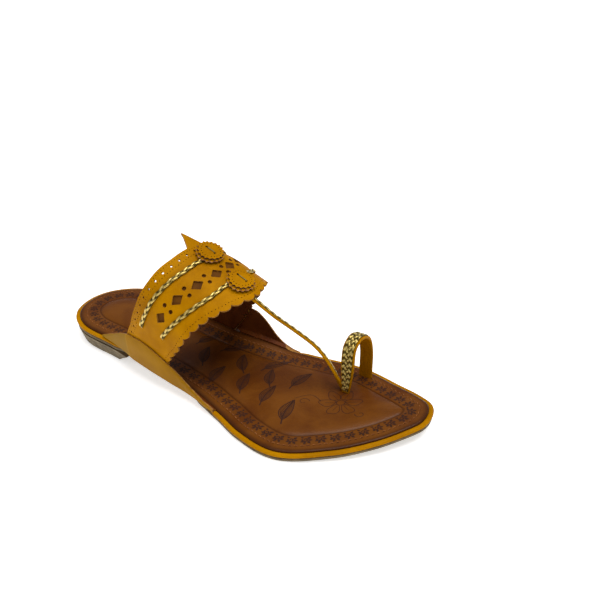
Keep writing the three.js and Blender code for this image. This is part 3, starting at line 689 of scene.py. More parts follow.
branding = surface(
    "branded_leather",
    cloudy(1.6, 3.0, srgb(52, 22, 8), FOOTBED_DARK, 0.5, 1.0),
    matt(2.0, 0.5),
    None,
    {"Specular IOR Level": 0.25},
)
thread = surface("orange_thread", cloudy(1.2, 2.0, srgb(120, 62, 20), srgb(170, 104, 44)), matt(0.5, 0.6))
stamp = drawn([curl(**STAMP_CURL)] + [petal(**row) for row in STAMP_PETALS])
stitch = stitch_shape(STITCH["long"], STITCH["thick"], STITCH["arch"], STITCH["sunk"])
for name, drawing, inset, pitch, lift, finish in (
    ("border_stamps", stamp, STAMP_INSET, STAMP_PITCH, PRINT_LIFT, branding),
    ("border_stitches", stitch, STITCH["inset"], STITCH["pitch"], STITCH_LIFT, thread),
):
    places, turns = spaced(outline - outline_out * inset, pitch)
    printed(name, drawing, places, turns, np.ones(len(turns)), lift, finish)


# Prints on the padded middle. Loose leaves drawn in fine burnt lines drift from the waist to the
# ball, with an open flower at the toes.
LEAF = {"long": 20.5, "wide": 6.6, "bend": 1.4, "stalk": 0.16, "swell": 0.8}
LEAF_STEPS = 24
LEAF_EDGE_FROM = 3
LEAF_RIB = (0.8, 0.4)
LEAF_EDGE = 0.5
VEINS = {"count": 15, "from": 0.2, "to": 0.88, "slant": 0.06, "reach": 0.92, "ahead": 0.09}
VEIN_WIDTHS = (0.5, 0.46, 0.42, 0.36)
FLOWER_PETALS = {"count": 6, "first": 0.3, "out": 7.4, "long": 4.6, "wide": 3.1, "wave": 0.12, "line": 0.36}
FLOWER_RIBS = {"from": 3.2, "to": 8.6, "line": 0.26}
FLOWER_EYE = {"radius": 2.4, "line": 0.4}
FLOWER_STEPS = 30
FLOWER_STALK = {"x": -11.0, "y": -2.0, "long": 15.0, "sway": 4.0, "turn": 3.6, "steps": 18}
FINE_LINE = (0.4, 0.25)
FLOWER_CURLS = (
    {"radius": 3.4, "turns": 0.9, "first": 0.4, "centre": (-20.0, -5.0), "widths": FINE_LINE},
    {"radius": 3.0, "turns": 0.9, "first": 3.4, "centre": (13.5, -8.0), "widths": FINE_LINE},
)
LEAVES = (
    {"x": 146.0, "y": -13.5, "turn": 112, "size": 0.95},
    {"x": 164.5, "y": -15.5, "turn": 100, "size": 0.98},
    {"x": 183.0, "y": -21.5, "turn": 106, "size": 1.08},
    {"x": 172.0, "y": 6.0, "turn": 84, "size": 0.98},
    {"x": 150.0, "y": 10.5, "turn": 66, "size": 0.95},
    {"x": 156.0, "y": -1.0, "turn": 122, "size": 0.9},
    {"x": 134.0, "y": 1.0, "turn": 128, "size": 0.95},
    {"x": 120.0, "y": 9.0, "turn": 58, "size": 0.9},
    {"x": 128.0, "y": -17.0, "turn": 96, "size": 0.9},
    {"x": 112.0, "y": -8.0, "turn": 118, "size": 0.9},
    {"x": 102.0, "y": 5.0, "turn": 76, "size": 0.85},
    {"x": 94.0, "y": -14.0, "turn": 104, "size": 0.85},
)
FLOWER = {"x": 203.0, "y": 0.5, "turn": 15, "size": 1.0}


def leaf_strokes():
    """A pointed leaf with a bent midrib, two edges and slanting veins, tip to the right."""
    t = np.linspace(0, 1, LEAF_STEPS)
    rib = np.column_stack([LEAF["long"] * (t - 0.5), LEAF["bend"] * np.sin(math.pi * t)])
    blade = np.clip((t - LEAF["stalk"]) / (1 - LEAF["stalk"]), 0, 1)
    half = LEAF["wide"] / 2 * np.sin(math.pi * blade ** LEAF["swell"])
    strokes = [(rib, np.linspace(*LEAF_RIB, LEAF_STEPS))]
    for side in (-1, 1):
        edge = (rib + np.column_stack([np.zeros(LEAF_STEPS), side * half]))[LEAF_EDGE_FROM:]
        strokes.append((edge, np.full(len(edge), LEAF_EDGE)))
        for share in np.linspace(VEINS["from"], VEINS["to"], VEINS["count"]):
            root = np.array([np.interp(share, t, rib[:, k]) for k in (0, 1)])
            reach = np.interp(share + VEINS["slant"], t, half) * VEINS["reach"]
            tip = root + np.array((VEINS["ahead"] * LEAF["long"], side * reach))
            strokes.append((np.linspace(root, tip, len(VEIN_WIDTHS)), VEIN_WIDTHS))
    return strokes


def flower_strokes():
    """An open flower in outline: petals with a rib each round an eye, a stalk and two curls."""
    strokes = []
    t = np.linspace(0, 2 * math.pi, FLOWER_STEPS)
    for k in range(FLOWER_PETALS["count"]):
        angle = 2 * math.pi * k / FLOWER_PETALS["count"] + FLOWER_PETALS["first"]
        across = np.array((-math.sin(angle), math.cos(angle)))
        out = np.array((math.cos(angle), math.sin(angle)))
        wave = 1 + FLOWER_PETALS["wave"] * np.sin(3 * t + k)
        length = FLOWER_PETALS["out"] + np.cos(t) * FLOWER_PETALS["long"] * wave
        width = np.sin(t) * FLOWER_PETALS["wide"] * wave
        edge = length[:, None] * out + width[:, None] * across
        strokes.append((edge, np.full(len(t), FLOWER_PETALS["line"])))
        rib = np.linspace(out * FLOWER_RIBS["from"], out * FLOWER_RIBS["to"], 5)
        strokes.append((rib, np.full(len(rib), FLOWER_RIBS["line"])))
    eye = FLOWER_EYE["radius"] * np.column_stack([np.cos(t), np.sin(t)])
    strokes.append((eye, np.full(len(t), FLOWER_EYE["line"])))
    s = np.linspace(0, 1, FLOWER_STALK["steps"])
    stalk_y = FLOWER_STALK["y"] + FLOWER_STALK["sway"] * np.sin(FLOWER_STALK["turn"] * s)
    stalk = np.column_stack([FLOWER_STALK["x"] - FLOWER_STALK["long"] * s, stalk_y])
    strokes.append((stalk, np.linspace(*FINE_LINE, len(s))))
    return strokes + [curl(**row) for row in FLOWER_CURLS]


for name, strokes, rows in (("leaf", leaf_strokes(), LEAVES), ("flower", flower_strokes(), (FLOWER,))):
    places = np.array([(row["x"], row["y"]) for row in rows])
    turns = np.radians([row["turn"] for row in rows])
    sizes = [row["size"] for row in rows]
    printed(name + "_print", drawn(strokes), places, turns, sizes, PRINT_LIFT, branding)


# Piping. A strip of mustard leather rolled over a cord and sewn into the footbed's edge: one
# length runs round the toe, the other round the heel, and both end under the side panels.
PIPING_HALF_WIDE = 1.45
PIPING_HALF_TALL = 1.1
PIPING_TUCK = 0.3
PIPING_SINK = 0.7
PIPING_SIDES = 14
PIPING_TAPER = {"long": 9.0, "least": 0.45, "power": 0.7}
PIPING_RUNS = {
    "piping_toe": {"lateral": 140.0, "medial": 149.0, "round_toe": True, "steps": 360},
    "piping_heel": {"lateral": 67.0, "medial": 67.0, "round_toe": False, "steps": 240},
}
MUSTARD = srgb(186, 126, 0)
MUSTARD_DEEP = srgb(160, 104, 0)
MUSTARD_PALE = srgb(196, 138, 8)


def mustard_colour(start, place):
    """Cloudy mustard with fine paler flecks."""
    cloud = noise(start, place, 26.0, 4.0, 0.6).clamped(0.32, 0.7).mixed(MUSTARD_DEEP, MUSTARD)
    flecks = noise(start, place, 2.4, 3.0).clamped(0.55, 0.85, 0.0, 0.35)
    return flecks.mixed(cloud, MUSTARD_PALE)


mustard = surface(
    "mustard_leather",
    mustard_colour,
    matt(6.0, 0.34, 0.2, 4.0),
    lambda s, p: (pebbles(s, p, 0.75) * 0.5 + noise(s, p, 3.0, 3.0) * 0.7, 0.00010),
    {"Specular IOR Level": 0.02},
)
piping_leather = surface(
    "piping_leather",
    mustard_colour,
    matt(4.0, 0.32),
    lambda s, p: (noise(s, p, 1.6, 3.0) + pebbles(s, p, 0.6) * 0.4, 0.0001),
    {"Specular IOR Level": 0.02},
)
for name, run in PIPING_RUNS.items():
    lateral, medial = float(turn_at(run["lateral"])), float(turn_at(run["medial"]))
    ends = (lateral, 2 - medial) if run["round_toe"] else (-medial, lateral)
    edge = np.linspace(*ends, run["steps"])
    line, out = edge_line(edge), edge_normal(edge)
    length = travelled(line)
    to_end = np.clip(np.minimum(length, length[-1] - length) / PIPING_TAPER["long"], 0, 1)
    full = (PIPING_TAPER["least"] + (1 - PIPING_TAPER["least"]) * to_end ** PIPING_TAPER["power"])[:, None]
    angle = np.linspace(0, 2 * math.pi, PIPING_SIDES, endpoint=False)
    away = GAP - PIPING_TUCK + PIPING_HALF_WIDE * full * (1 + np.cos(angle))
    height = bed_height(line[:, 0], line[:, 1]) - PIPING_HALF_TALL - PIPING_SINK
    z = height[:, None] + PIPING_HALF_TALL * full * np.sin(angle)
    points = np.stack([line[:, :1] + out[:, :1] * away, line[:, 1:] + out[:, 1:] * away, z], axis=-1)
    faces = ring_faces(len(edge), PIPING_SIDES, capped=True)
    bead = made(name + "_bead", points.reshape(-1, 3), faces, "piping", [piping_leather], crease=60)
    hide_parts(name)


# Band of the upper. The instep band is cut flat from mustard leather with a scalloped front edge,
# a pointed tab behind and rows of holes, lined with brown leather and formed over the last.
UPPER_THICK = 1.7
LEATHER_THICK = 1.1
LINING_GLUE = 0.04
LINING_INSET = 0.5
LINING_REAR_INSET = 4.6
WALL_FLARE = 2.2
SHOULDER_SHARE = 0.6
CREST_HEIGHT = 78.6
CREST_FALL = 0.457
CREST_X = 103.5
BAND_SPREAD = 105.0
BAND_GRID = 1.5
HOLE_ROOM = 0.3
RIM_ROOM = 0.55
CUT_TOLERANCE = 1e-6
STEP_X = 0.5
STEP_ACROSS = 0.004
ROW_STEP = 0.02
ROW_POINTS = 400
EDGE_POINTS = {"front": 437, "rear": 261, "foot": 24}
SCALLOPS = 22
SCALLOP_DEPTH = 2.3
SCALLOP_FULLNESS = 0.52
SCALLOP_END = 0.78
TAB_LENGTH = 10.5
TAB_CENTRE = 0.022
TAB_HALF_WIDTH = 0.072
DIAMONDS = 9
DIAMOND_PITCH = 0.134
DIAMOND_CENTRE = 0.077
DIAMOND_LINE = 0.485
DIAMOND_HALF_ROW = 4.2
DIAMOND_HALF_CROSS = 3.4
DIAMOND_SIDE = (0.06, 0.3, 0.5, 0.7, 0.94)
ROUND_HOLE_RADIUS = 1.25
ROUND_HOLE_SPREAD = 2.6
ROUND_HOLE_SIDES = 16
BRAID_LINES = {"rear": {"line": 0.24, "bow": 0.0}, "front": {"line": 0.655, "bow": 0.08}}
BRAID_END = 0.575
BRAID_DIP = {"depth": 0.25, "wide": 0.055, "end": 0.03}
EDGE_HOLES_END = 0.72
EDGE_HOLES = (
    {"inset": 3.3, "radius": 0.7, "pitch": 6.0, "sides": 12},
    {"inset": 1.5, "radius": 0.3, "pitch": 2.0, "sides": 6},
    {"inset": 5.1, "radius": 0.3, "pitch": 2.0, "sides": 6},
)
SCALLOP_HOLES = {"inset": 3.6, "radius": 0.32, "pitch": 2.1, "sides": 6}
INSTEP = {
    "x": (60, 100, 120, 140, 165),
    "shoulder": (39, 36, 33, 29, 26),
    "lateral": (3.0, 2.8, 2.2, 2.0, 2.0),
    "medial": (2.4, 2.0, 2.4, 2.2, 2.0),
}
BAND = {
    "across": (-1.0, -0.75, -0.6, -0.45, -0.3, -0.15, 0.0, 0.15, 0.3, 0.45, 0.6, 0.75, 1.0),
    "rear": (68, 76, 82, 91, 99, 103, 103.5, 103, 98.5, 91, 82.5, 77, 70),
    "front": (104, 113, 121, 129.5, 137.3, 144.4, 148.5, 144.8, 138.2, 130.4, 122.5, 117, 107),
}
CREASES = (
    {"across": -0.42, "share": 0.46, "long": 0.16, "wide": 0.22, "height": 0.5},
    {"across": -0.2, "share": 0.82, "long": 0.12, "wide": 0.12, "height": -0.35},
    {"across": -0.58, "share": 0.75, "long": 0.1, "wide": 0.2, "height": -0.4},
    {"across": -0.5, "share": 0.12, "long": 0.2, "wide": 0.1, "height": 0.3},
    {"across": 0.35, "share": 0.5, "long": 0.16, "wide": 0.25, "height": 0.45},
    {"across": 0.55, "share": 0.8, "long": 0.1, "wide": 0.2, "height": -0.4},
)
shoulder_curve = table_curve(INSTEP["x"], INSTEP["shoulder"])
square_lateral = table_curve(INSTEP["x"], INSTEP["lateral"])
square_medial = table_curve(INSTEP["x"], INSTEP["medial"])
rear_curve = table_curve(BAND["across"], BAND["rear"])
front_curve = table_curve(BAND["across"], BAND["front"])


def instep_point(x, across):
    """A point of the last at a distance x, from -1 at the lateral foot over the crest to 1."""
    x, across = np.broadcast_arrays(np.asarray(x, float), np.asarray(across, float))
    side = np.where(across < 0, -1, 1)
    share = np.abs(across)
    shoulder = shoulder_curve(x)
    square = np.where(side < 0, square_lateral(x), square_medial(x))
    foot = half_width(side, x) + GAP + UPPER_THICK
    reach = foot + WALL_FLARE
    down = np.clip((share - SHOULDER_SHARE) / (1 - SHOULDER_SHARE), 0, 1)
    foot_z = bed_height(x, side * foot) - FOOTBED_THICK + GAP
    angle = math.pi / 2 * np.clip(share / SHOULDER_SHARE, 0, 1)
    wide, tall = np.sin(angle), np.clip(np.cos(angle), 0, 1)
    norm = (wide**square + tall**square) ** (1 / square)
    crest = CREST_HEIGHT - CREST_FALL * (x - CREST_X)
    on_wall = share > SHOULDER_SHARE
    y = np.where(on_wall, reach + (foot - reach) * down**2, reach * wide / norm)
    z = np.where(on_wall, shoulder + (foot_z - shoulder) * down, shoulder + (crest - shoulder) * tall / norm)
    return np.stack([x, side * y, z], axis=-1)


def instep_ahead(x, across):
    """The way that the last runs forward at a place, for a millimetre of x."""
    return instep_point(np.add(x, STEP_X), across) - instep_point(np.subtract(x, STEP_X), across)


def instep_normal(x, across):
    low = np.maximum(np.subtract(across, STEP_ACROSS), -1)
    high = np.minimum(np.add(across, STEP_ACROSS), 1)
    return unit(np.cross(instep_ahead(x, across), instep_point(x, high) - instep_point(x, low)))


def instep(x, across, offset=0.0):
    offset = np.asarray(offset, float)[..., None]
    return instep_point(x, across) + instep_normal(x, across) * offset


def band_x(across, share):
    return rear_curve(across) + (front_curve(across) - rear_curve(across)) * share


def braid_share(row, across):
    """Where a braid lies between the band's edges: it bows forward half-way down each side."""
    down = np.minimum(np.abs(across) / BRAID_END, 1)
    return row["line"] + row["bow"] * np.sin(math.pi * down)


def band_relief(x, across):
    """Soft ridges and troughs of worn leather, and the dips where the braids are sewn down."""
    share = (x - rear_curve(across)) / (front_curve(across) - rear_curve(across))
    rise = np.zeros_like(share)
    for row in CREASES:
        across_part = ((across - row["across"]) / row["long"]) ** 2
        rise = rise + row["height"] * np.exp(-across_part - ((share - row["share"]) / row["wide"]) ** 2)
    sewn = BRAID_DIP["depth"] * np.clip((BRAID_END - np.abs(across)) / BRAID_DIP["end"], 0, 1)
    for row in BRAID_LINES.values():
        rise = rise - sewn * np.exp(-(((share - braid_share(row, across)) / BRAID_DIP["wide"]) ** 2))
    return rise


def inside(points, loop):
    """Which points lie inside a closed loop, by counting crossings."""
    ends = np.roll(loop, -1, axis=0)
    found = np.zeros(len(points), bool)
    for (x1, y1), (x2, y2) in zip(loop, ends):
        if y1 == y2:
            continue
        spans = (y1 > points[:, 1]) != (y2 > points[:, 1])
        found ^= spans & (points[:, 0] < (x2 - x1) * (points[:, 1] - y1) / (y2 - y1) + x1)
    return found


def inner_points(loops, grid):
    """A grid of points in staggered rows inside an edge, clear of it and of its holes."""
    low, high = loops[0].min(0), loops[0].max(0)
    rows = []
    for k, v in enumerate(np.arange(low[1], high[1], grid)):
        u = np.arange(low[0] + (k % 2) * grid / 2, high[0], grid)
        rows.append(np.column_stack([u, np.full(len(u), v)]))
    inner = np.concatenate(rows)
    inner = inner[inside(inner, loops[0])]
    for hole in loops[1:]:
        centre = hole.mean(0)
        radius = np.linalg.norm(hole - centre, axis=1).max()
        inner = inner[np.linalg.norm(inner - centre, axis=1) > radius + HOLE_ROOM * grid]
    rim = np.concatenate(loops)
    nearest = [np.sqrt(((point - rim) ** 2).sum(-1)).min() for point in inner]
    return inner[np.array(nearest) > RIM_ROOM * grid]


def cut_leather(edge, holes, grid):
    """Triangles of a flat piece cut along an edge, with convex holes: points and triangles."""
    loops = [np.asarray(edge, float)] + [np.asarray(h, float) for h in holes]
    points = np.concatenate(loops + [inner_points(loops, grid)])
    owner = np.full(len(points), -1)
    links, shift = [], 0
    for number, loop in enumerate(loops):
        owner[shift:shift + len(loop)] = number
        links += [(shift + k, shift + (k + 1) % len(loop)) for k in range(len(loop))]
        shift += len(loop)
    cut = delaunay_2d_cdt([Vector(p) for p in points], links, [], 0, CUT_TOLERANCE)
    places = np.array([tuple(v) for v in cut[0]])
    owners = np.array([owner[source[0]] if source else -1 for source in cut[3]])
    triangles = np.array([face for face in cut[2] if len(face) == 3])
    corner = owners[triangles]
    same = (corner[:, 0] == corner[:, 1]) & (corner[:, 1] == corner[:, 2])
    keep = ~(same & (corner[:, 0] > 0))
    doubtful = np.nonzero(same & (corner[:, 0] == 0))[0]
    keep[doubtful] = inside(places[triangles[doubtful]].mean(1), loops[0])
    triangles = triangles[keep]
    a, b, c = (places[triangles[:, k]] for k in range(3))
    turned = (b[:, 0] - a[:, 0]) * (c[:, 1] - a[:, 1]) - (b[:, 1] - a[:, 1]) * (c[:, 0] - a[:, 0]) < 0
    triangles[turned] = triangles[turned][:, ::-1]
    return places, triangles


def wall_faces(triangles, count):
    """Faces of a wall: its outer skin, its inner skin and the cut edges between them."""
    outer = [tuple(t) for t in triangles.tolist()]
    inner = [(c + count, b + count, a + count) for a, b, c in outer]
    sides = dict.fromkeys(pair for a, b, c in outer for pair in ((a, b), (b, c), (c, a)))
    cut = [(a + count, b + count, b, a) for a, b in sides if (b, a) not in sides]
    return outer + inner + cut, [0] * len(outer) + [1] * len(inner) + [2] * len(cut)


def band_edge(inset, rear_inset):
    """The band's cut edge as pattern points: scallops in front, the tab behind, feet at the ends."""
    lobes = np.linspace(-1, 1, EDGE_POINTS["front"])
    place = (lobes + SCALLOP_END) / (2 * SCALLOP_END) * SCALLOPS
    bulge = np.where(np.abs(lobes) < SCALLOP_END, np.abs(np.sin(math.pi * place)) ** SCALLOP_FULLNESS, 1)
    front = band_x(lobes, 1) - SCALLOP_DEPTH * (1 - bulge) - inset
    back_across = np.linspace(1, -1, EDGE_POINTS["rear"])
    tab = np.maximum(1 - np.abs(back_across - TAB_CENTRE) / TAB_HALF_WIDTH, 0)
    rear = band_x(back_across, 0) - TAB_LENGTH * tab + rear_inset
    feet = np.linspace(0, 1, EDGE_POINTS["foot"])[1:-1]
    medial_x = front[-1] + (rear[0] - front[-1]) * feet
    lateral_x = rear[-1] + (front[0] - rear[-1]) * feet
    x = np.concatenate([front, medial_x, rear, lateral_x])
    across = np.concatenate([lobes, np.ones(len(feet)), back_across, -np.ones(len(feet))])
    limit = 1 - inset / BAND_SPREAD
    return np.column_stack([x, np.clip(across, -limit, limit)])


def hole_at(x0, across0, shape):
    """A hole at a pattern place, from real distances ahead along the foot and over its instep."""
    ahead, over = shape.T
    along = instep_ahead(x0, across0)
    stretch = np.linalg.norm(along)
    climb = instep_point(x0, across0 + STEP_ACROSS) - instep_point(x0, across0 - STEP_ACROSS)
    climb = climb / (2 * STEP_ACROSS)
    slant = climb @ along / stretch
    rate = np.linalg.norm(climb - slant * along / stretch)
    x = x0 + (ahead - slant * over / rate) / stretch
    return np.column_stack([x, (across0 + over / rate) * BAND_SPREAD])


def row_hole(across, shape):
    """A hole in the row of diamonds, turned with it: its shape runs across the row and along it."""
    x0 = float(band_x(across, DIAMOND_LINE))
    near = (across - ROW_STEP, across + ROW_STEP)
    behind, ahead = (instep_point(band_x(a, DIAMOND_LINE), a) for a in near)
    lean = unit(ahead - behind) @ unit(instep_ahead(x0, across))
    rest = math.sqrt(1 - lean**2)
    return hole_at(x0, across, shape @ np.array(((rest, -lean), (lean, rest))))


def holes_along(x_of, end, row):
    """Round holes at an even pitch along a line over the band."""
    across = np.linspace(-end, end, ROW_POINTS)
    length = travelled(instep_point(x_of(across), across))
    count = int(round(length[-1] / row["pitch"]))
    at = np.interp((np.arange(count) + 0.5) * length[-1] / count, length, across)
    return [hole_at(x_of(a), a, round_shape(row["radius"], row["sides"])) for a in at]


def round_shape(radius, sides):
    angle = np.linspace(0, 2 * math.pi, sides, endpoint=False)
    return radius * np.column_stack([np.cos(angle), np.sin(angle)])


def diamond_shape(cross, row):
    corner = np.array(((cross, 0), (0, row), (-cross, 0), (0, -row)), float)
    t = np.array(DIAMOND_SIDE)[:, None]
    return np.concatenate([corner[k] * (1 - t) + corner[(k + 1) % 4] * t for k in range(4)])


band_holes = []
first_diamond = DIAMOND_CENTRE - DIAMOND_PITCH * (DIAMONDS - 1) / 2
for k in range(DIAMONDS):
    across = first_diamond + DIAMOND_PITCH * k
    band_holes.append(row_hole(across, diamond_shape(DIAMOND_HALF_CROSS, DIAMOND_HALF_ROW)))
    if k < DIAMONDS - 1:
        for slide in (-ROUND_HOLE_SPREAD, ROUND_HOLE_SPREAD):
            round_hole = round_shape(ROUND_HOLE_RADIUS, ROUND_HOLE_SIDES) + np.array((slide, 0.0))
            band_holes.append(row_hole(across + DIAMOND_PITCH / 2, round_hole))
for row in EDGE_HOLES:
    band_holes += holes_along(lambda a: rear_curve(a) + row["inset"], EDGE_HOLES_END, row)
band_holes += holes_along(lambda a: front_curve(a) - SCALLOP_HOLES["inset"], SCALLOP_END, SCALLOP_HOLES)


def formed(name, edge, holes, outer_depth, inner_depth, materials):
    """A leather cut flat and formed over the last between two depths below the band's face."""
    places, triangles = cut_leather(edge * np.array((1.0, BAND_SPREAD)), holes, BAND_GRID)
    x, across = places[:, 0], np.clip(places[:, 1] / BAND_SPREAD, -1, 1)
    relief = band_relief(x, across)
    skins = [instep(x, across, relief - depth) for depth in (outer_depth, inner_depth)]
    faces, kinds = wall_faces(triangles, len(places))
    return made(name, np.concatenate(skins), faces, "upper_leather", materials, kinds)


cut_edge = surface("cut_edge", cloudy(1.5, 3.0, srgb(120, 72, 14), srgb(178, 122, 30)), matt(1.0, 0.6))
lining = surface(
    "brown_lining",
    cloudy(18.0, 4.0, srgb(78, 32, 6), srgb(102, 50, 10)),
    matt(6.0, 0.42),
    lambda s, p: (pebbles(s, p, 0.7) * 0.4 + noise(s, p, 4.0) * 0.6, 0.00008),
    {"Specular IOR Level": 0.1},
)
lining_back = surface(
    "lining_back",
    cloudy(6.0, 4.0, srgb(84, 48, 6), srgb(106, 64, 10)),
    matt(3.0, 0.6),
    None,
    {"Specular IOR Level": 0.1},
)
band_finish = [mustard, lining, cut_edge]
band = formed("band_leather", band_edge(0.0, 0.0), band_holes, 0.0, LEATHER_THICK, band_finish)
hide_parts("upper")
lining_edge = band_edge(LINING_INSET, LINING_REAR_INSET)
lining_finish = [lining_back, lining, lining]
formed("band_lining", lining_edge, [], LEATHER_THICK + LINING_GLUE, UPPER_THICK, lining_finish)


# Side panels. A wrap of leather covers each foot of the band and is pulled down over the
# sole's edge; its colour is a darker mustard than the band's, as painted shade on its steep sides.
# It is skived thin along its top, and bends sharply just behind the band, with painted light
# on the facet behind the bend and a painted highlight along the bend itself.
PANEL_THICK = 1.5
PANEL_FLOOR_CLEARANCE = 0.8
PANEL_LEAST_HEIGHT = 1.0
PANEL_TAPER = 9.0
PANEL_SKIVE = {"share": 0.55, "power": 6}
PANEL_BEAD = {"inner": 0.5, "outer": 0.95}
PANEL_LEDGE = {"rise": 0.6, "tall": 0.8, "ramp": 6.0}
PANEL_COLUMNS = 190
PANEL_ROWS = 22
PANEL_FOLD_X = 76.0
PANEL_FOLD_LEAN = 0.075
PANELS = {
    "lateral": {
        "side": -1,
        "x": (46, 60, 71, 79, 88, 97, 110, 118, 126, 136, 147),
        "top": (15.0, 21.8, 27.0, 29.2, 29.0, 27.2, 21.5, 17.5, 12.2, 8.2, 6.0),
        "drop": (0.3, 0.3, 0.3, 1.9, 1.9, 1.9, 1.9, 1.4, 1.0, 0.9, 0.7),
    },
    "medial": {
        "side": 1,
        "x": (46, 60, 72, 80, 90, 104, 114, 122, 127, 132, 136, 140, 144, 148, 152),
        "top": (15.0, 21.8, 27.2, 29.2, 28.8, 28.4, 28.0, 26.6, 23.0, 17.8, 13.2, 9.8, 7.4, 5.8, 4.8),
        "drop": (0.3, 0.3, 0.3, 1.9, 2.8, 3.8, 4.0, 4.0, 4.0, 4.0, 3.8, 3.6, 3.4, 3.0, 2.4),
    },
}
# Painted shade: the panel's cloud of colours is a darker mustard than the band's leather.
PANEL_SHADED_DEEP = srgb(142, 97, 2)
PANEL_SHADED_PALE = srgb(160, 113, 8)
# Painted light: the facet colour lightens the facet behind the fold, and the ridge colour is a painted
# highlight along the fold.
PANEL_FACET_LIT = srgb(146, 108, 10)
PANEL_FOLD_HIGHLIGHT = srgb(176, 134, 40)
FACET_LIGHT_SOFT = 0.0006
FACET_LIGHT_SHARE = 0.7
FOLD_HIGHLIGHT_HALF_WIDE = 0.0012
FOLD_HIGHLIGHT_SHARE = 0.4


def panel_colour(start, place):
    """Cloudy leather in painted shade, with painted light on the facet behind the fold and a painted
    highlight along the fold itself.
    """
    cloud = cloudy(30.0, 4.0, PANEL_SHADED_DEEP, PANEL_SHADED_PALE)(start, place)
    x = start.node("ShaderNodeSeparateXYZ", None, {0: place}, "X")
    fold = (PANEL_FOLD_X + LAST_ORIGIN[0]) * MM
    lit_facet = x.clamped(fold - FACET_LIGHT_SOFT, fold + FACET_LIGHT_SOFT, FACET_LIGHT_SHARE, 0.0).mixed(cloud, PANEL_FACET_LIT)
    fold_highlight = x.clamped(fold - FOLD_HIGHLIGHT_HALF_WIDE, fold) * x.clamped(fold, fold + FOLD_HIGHLIGHT_HALF_WIDE, 1.0, 0.0)
    return (fold_highlight * FOLD_HIGHLIGHT_SHARE).mixed(lit_facet, PANEL_FOLD_HIGHLIGHT)


panel_leather = surface(
    "panel_leather",
    panel_colour,
    matt(6.0, 0.4, 0.2, 4.0),
    lambda s, p: (pebbles(s, p, 0.75) * 0.4 + noise(s, p, 4.0, 3.0) * 0.7, 0.00007),
    {"Specular IOR Level": 0.04},
)
grid_u, grid_v = np.meshgrid(
    np.linspace(0, 1, PANEL_COLUMNS + 1), np.linspace(0, 1, PANEL_ROWS + 1), indexing="ij"
)
index = np.arange(grid_u.size).reshape(grid_u.shape)
a, b, c, d = index[:-1, :-1].ravel(), index[1:, :-1].ravel(), index[1:, 1:].ravel(), index[:-1, 1:].ravel()
panel_triangles = np.concatenate([np.column_stack([a, b, c]), np.column_stack([a, c, d])])


def panel_skin(side, rows, depth):
    """A panel's skin at a depth from its inside, which turns in below to meet the footbed."""
    u, v = grid_u.ravel(), grid_v.ravel()
    first, last = rows["x"][0], rows["x"][-1]
    x = first + (last - first) * u
    foot = half_width(side, x) + GAP + UPPER_THICK
    bed = bed_height(x, side * foot)
    bottom = np.maximum(bed - table_curve(rows["x"], rows["drop"])(x), PANEL_FLOOR_CLEARANCE)
    top = np.maximum(table_curve(rows["x"], rows["top"])(x), bottom + PANEL_LEAST_HEIGHT)
    z = bottom + (top - bottom) * v
    shoulder = shoulder_curve(x)
    down = np.clip((shoulder - z) / (shoulder - (bed - FOOTBED_THICK + GAP)), 0, 1)
    skived = depth * (1 - PANEL_SKIVE["share"] * v ** PANEL_SKIVE["power"])
    lean = PANEL_FOLD_LEAN * np.maximum(PANEL_FOLD_X - x, 0)
    out = foot + WALL_FLARE * (1 - down**2) + GAP + skived - lean
    over_bead = PANEL_BEAD["inner"] + (PANEL_BEAD["outer"] - PANEL_BEAD["inner"]) * depth / PANEL_THICK
    bead_out = half_width(side, x) + GAP + 2 * PIPING_HALF_WIDE * over_bead
    out = out + (bead_out - out) * ramp(x - last + PANEL_TAPER, PANEL_TAPER)
    if depth == 0:
        foot_rear, foot_front = (BAND[edge][0 if side < 0 else -1] for edge in ("rear", "front"))
        beside = ramp(foot_rear - x, PANEL_LEDGE["ramp"]) + ramp(x - foot_front, PANEL_LEDGE["ramp"])
        ledge = ramp(bed + PANEL_LEDGE["rise"] - z, PANEL_LEDGE["tall"])
        out = out + (half_width(side, x) + GAP / 2 - out) * ledge * beside
    return np.column_stack([x, side * out, z])


for key, rows in PANELS.items():
    depths = (PANEL_THICK, 0.0) if rows["side"] < 0 else (0.0, PANEL_THICK)
    points = np.concatenate([panel_skin(rows["side"], rows, depth) for depth in depths])
    faces, kinds = wall_faces(panel_triangles, grid_u.size)
    if rows["side"] > 0:
        kinds = [{0: 1, 1: 0, 2: 2}[kind] for kind in kinds]
    wrap = made("panel_" + key, points, faces, "panel_leather", [panel_leather, lining, cut_edge], kinds)
    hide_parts("side_panel_" + key)


# T-strap and toe ring. A narrow leather strap runs from under the band down between the first two
# toes, and a broader one loops over the big toe. Both have rolled edges beside their braids.
STRAP = {"wide": 4.4, "thick": 1.5, "bed": 3.2}
RING = {"wide": 8.4, "thick": 1.7, "bed": 6.6}
RING_X = 199.7
STRAP_ROUTE = (
    (137, -0.6, 61.2), (146.5, 0.2, 55.1), (158.5, 3.0, 46.4), (169.5, 6.5, 38.9),
    (180, 9.8, 30.9), (187.2, 10.9, 23.4), (192.8, 11.1, 15.3), (198.6, 12.4, 4.0),
)
STRAP_BANK = {"share": (0.0, 0.5, 1.0), "degrees": (17, 26, 55)}
RING_ROUTE = tuple((RING_X, y, z) for y, z in (
    (10.4, 4.0), (11.8, 13.5), (13.0, 23.0), (15.5, 33.4), (22.0, 36.9),
    (29.9, 33.2), (33.0, 23.0), (32.6, 13.0), (31.9, 4.0),
))
STRAP_LOWER_SIDE = ((0.6, -1.0), (0.2, -0.85), (0.0, -0.3))
STRAP_ROLL = ((0.0, 0.4), (0.25, 0.95), (0.55, 1.1), (0.85, 0.95), (1.0, 0.7))
STRAP_BED_RISE = 0.7
RING_FOOT = {"least": 0.4, "long": 0.24, "power": 0.8}
STRAP_STEPS = 220
bank_curve = table_curve(STRAP_BANK["share"], STRAP_BANK["degrees"])


